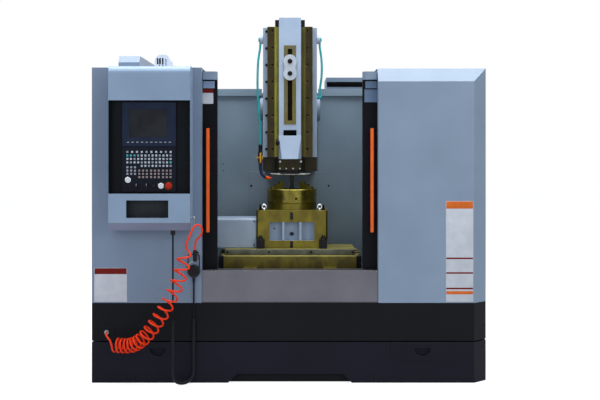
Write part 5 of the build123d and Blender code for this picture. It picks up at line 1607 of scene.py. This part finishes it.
@dataclass
class RamHead:
    """Column, head casting, gibs, ram, tool and the lines beside them."""

    screw_x: float = 110.5
    bore_x: Span = (-10.0, 10.0)
    counterbore: float = 7.0
    edge_x: float = 150.0
    row_top: float = 2106.0
    row_pitch: float = 107.0
    rows: int = 8
    apron_top: float = 1306.0
    channel_x: Span = (-142.0, 142.0)
    channel_gap: float = 3.0
    plate_x: Span = (-38.0, 38.0)
    plate_y: Span = (-203.3, -199.7)
    plate_z: Span = (1513.0, 2013.0)
    slot_x: Span = (-14.5, 14.5)
    slot_front: float = -202.1
    slot_z: Span = (1536.0, 1990.0)
    window_x: Span = (-41.5, 41.5)
    window_y: Span = (-199.0, -178.0)
    window_z: Span = (1438.0, 1477.0)
    link_bolt_x: Span = (-16.0, 16.0)
    link_bolt_height: float = 7.0
    link_bolt_z: Span = (1815.0, 1930.0)
    nose_knob: Point = (-64.0, -211.0, 1399.0)
    tool_block_z: float = 1224.0
    tool_x: Span = (-24.0, 48.0)
    tool_gap: float = 0.6
    boss_x: Span = (-192.5, 192.5)
    boss_z: float = 2028.0
    valve_cap_rise: float = 62.0
    bar_y: float = -187.5
    bar_rise: float = 9.0
    bar_radius: float = 6.5
    bar_chamfer: Ring = (0.7, 1.0)
    upper_bolts: tuple[float, ...] = (-63.0, 69.0)
    upper_bolt_drop: float = 16.0
    lower_bolts: tuple[float, ...] = (-63.0, -24.0, 20.0, 63.0)
    lower_bolt_rise: float = 10.0
    coolant_route: list[Point] = field(default_factory=lambda: [
        (-190.0, -121.0, 1272.0), (-190.0, -121.0, 1230.4), (-181.4, -134.8, 1194.7),
        (-147.0, -164.0, 1172.9), (-115.0, -191.2, 1172.9),
    ])
    bead_pitch: float = 14.0
    bead_steps: int = 7
    bead_radius: float = 10.5
    bead_groove: float = 2.6
    bead_round: float = 0.6
    nozzle_length: float = 42.0
    nozzle_tip: float = 4.0
    collar_share: float = 0.25
    collar_over: float = 0.5
    nozzle_under: float = 1.5
    ring_drop: float = 5.0

    def build(self) -> None:
        """Dress the head and add its screws and coolant line."""
        self.casting()
        coat(Look.DARK_STEEL, "slotting_tool", "crank_disc", "connecting_rod")
        coat(Look.MOTOR, "main_motor")
        coat(Look.BRASS, "valve_lever")
        self.slide()
        self.tool_holder()
        self.clamp_bar()
        self.nose_handle()
        self.coolant_line()

    def casting(self) -> None:
        """Dress the column, the head casting, its gibs, and the lines beside them."""
        gib = Extent.of("gib_strips")
        pipes = Extent.of("lube_pipes")
        valve = Extent.of("coolant_valve")
        depth = (gib.high.y + self.channel_gap, Extent.of("slotting_head").high.y - 1)
        bore_y = (gib.low.y + 1, gib.low.y + self.counterbore)
        dress("column", Look.CASTING, Zone(Look.APRON, x=self.channel_x, facing=FRONT))
        dress(
            "slotting_head", Look.CASTING,
            Zone(Look.APRON, z=(0, self.apron_top), facing=FRONT),
            Zone(Look.APRON, x=self.channel_x, y=depth),
        )
        dress(
            "gib_strips", Look.GIB,
            # The left gib's right-facing bevel gets a painted highlight, the right gib's left-facing bevel
            # dimmer painted light.
            Zone(Look.GIB_BEVEL_PAINTED_HIGHLIGHT, x=(gib.low.x, 0), facing=RIGHTWARD),
            Zone(Look.GIB_BEVEL_DIMMER_PAINTED_LIGHT, x=(0, gib.high.x), facing=LEFTWARD),
            *(Zone(Look.VOID, shifted(self.bore_x, x), bore_y) for x in (-self.screw_x, self.screw_x)),
        )
        dress("lube_pipes", Look.TEAL, Zone(Look.BOSS, x=self.boss_x, z=(self.boss_z, pipes.high.z)))
        cap_z = (valve.low.z + self.valve_cap_rise, valve.high.z)
        dress("coolant_valve", Look.BRASS, Zone(Look.BLACK_ABS, z=cap_z))

    def slide(self) -> None:
        """Dress the ram and its link, and set the screws of the gibs and of the casting's left edge."""
        gib = Extent.of("gib_strips")
        back = Extent.of("ram").high.y
        link = Extent.of("ram_link").low.y
        dress(
            "ram", Look.RAM,
            Zone(Look.DARK_STEEL, y=(gib.high.y, back)),
            Zone(Look.SLOT_PLATE, self.plate_x, self.plate_y, self.plate_z),
            Zone(Look.VOID, self.slot_x, (self.slot_front, back), self.slot_z),
            Zone(Look.VOID, self.window_x, self.window_y, self.window_z),
        )
        bolt_y = (link, link + self.link_bolt_height)
        dress("ram_link", Look.LINK, Zone(Look.DARK_STEEL, self.link_bolt_x, bolt_y, self.link_bolt_z))
        heights = [self.row_top - self.row_pitch * row for row in range(self.rows)]
        sunk = gib.low.y + self.counterbore
        places = [(x, sunk, z) for x in (-self.screw_x, self.screw_x) for z in heights]
        Bench.row("gib_screws", socket_head(8.2, 6.5), places)
        Bench.row("head_edge_screws", socket_head(8.5, 4.0), [(-self.edge_x, gib.high.y, z) for z in heights])

    def tool_holder(self) -> None:
        """Dress the tool plate, its clamp bar's bright ends and the dark tool block, and set the bolts."""
        tool = Extent.of("tool_head")
        (left, right), gap = self.tool_x, self.tool_gap
        block_z = (tool.low.z, self.tool_block_z - 1)
        dress(
            "tool_head", Look.TOOL_PLATE,
            Zone(Look.ROD, x=(tool.low.x, left - gap), z=block_z),
            Zone(Look.ROD, x=(right + gap, tool.high.x), z=block_z),
            Zone(Look.DARK_STEEL, x=self.tool_x, z=block_z),
        )
        for name, head, across, z in (
            ("tool_plate_bolts", (7.0, 6.0), self.upper_bolts, tool.high.z - self.upper_bolt_drop),
            ("tool_clamp_bolts", (5.0, 4.0), self.lower_bolts, self.tool_block_z + self.lower_bolt_rise),
        ):
            Bench.row(name, hex_head(*head), [(x, tool.low.y, z) for x in across], "slotting_ram", "steel")

    def clamp_bar(self) -> None:
        """Model the round clamp bar through the tool block, thicker than its CAD core."""
        tool = Extent.of("tool_head")
        length = tool.high.x - tool.low.x
        foot = (tool.low.x, self.bar_y, tool.low.z + self.bar_rise)
        less, chamfer = self.bar_chamfer
        end = self.bar_radius - less
        bar = Bench.turned("tool_clamp_bar", foot, RIGHTWARD, [
            (end, 0), (self.bar_radius, chamfer), (self.bar_radius, length - chamfer), (end, length),
        ], Look.ROD)
        Bench.place(bar, "slotting_ram", "steel")

    def nose_handle(self) -> None:
        """Model the black hand knob on the ram nose's left side."""
        knob = Bench.turned("nose_hand_knob", self.nose_knob, LEFTWARD, [
            (7, 0), (7, 8), (17, 9), (20, 12), (20, 20), (17, 24), (8, 25), (6, 24),
        ], Look.BLACK_ABS)
        Bench.place(knob, "slotting_ram", "plastic_black")

    def coolant_line(self) -> None:
        """Loft the jointed coolant hose bead by bead, then its orange nozzle and the ring at its top."""
        walk = Route.spaced(Route.line(self.coolant_route), self.bead_pitch / self.bead_steps)
        split = walk[-1][0] - self.nozzle_length
        hose: list[Hoop] = []
        nozzle: list[Hoop] = []
        for done, place, run in walk:
            if done <= split:
                swell = abs(math.sin(math.pi * done / self.bead_pitch)) ** self.bead_round
                hose.append((place, run, self.bead_radius - self.bead_groove * (1 - swell)))
            if done >= split:
                share = (done - split) / self.nozzle_length - self.collar_share
                radius = self.bead_radius + (self.collar_over if share < 0 else -self.nozzle_under)
                taper = smooth(share / (1 - self.collar_share))
                nozzle.append((place, run, radius + (self.nozzle_tip - radius) * taper))
        joints = Bench.loft("coolant_joints", hose, Look.COOLANT, 20)
        Bench.place(joints, "frame", "coolant_navy", ["coolant_hose"])
        Bench.place(Bench.loft("coolant_nozzle", nozzle, Look.NOZZLE, 20), "frame", "hose_orange")
        x, y, z = self.coolant_route[0]
        ring = Bench.turned("coolant_ring", (x, y, z - self.ring_drop), UPWARD, [
            (12, 0), (13, 1), (13, 9), (12, 10), (8, 10.2),
        ], Look.NOZZLE, sides=24)
        Bench.place(ring, "frame", "hose_orange")


def main() -> None:
    """Build the scene, sub-assembly by sub-assembly."""
    logging.basicConfig(level=logging.INFO, format="%(name)s: %(message)s")
    for part in (
        Studio(), AirLine(), Pendant(), Enclosure(), SlidingDoor(Side.LEFT), SlidingDoor(Side.RIGHT),
        Console(), WorkTable(), RamHead(),
    ):
        part.build()
        LOG.info("built %s", type(part).__name__)


if __name__ == "__main__":
    main()
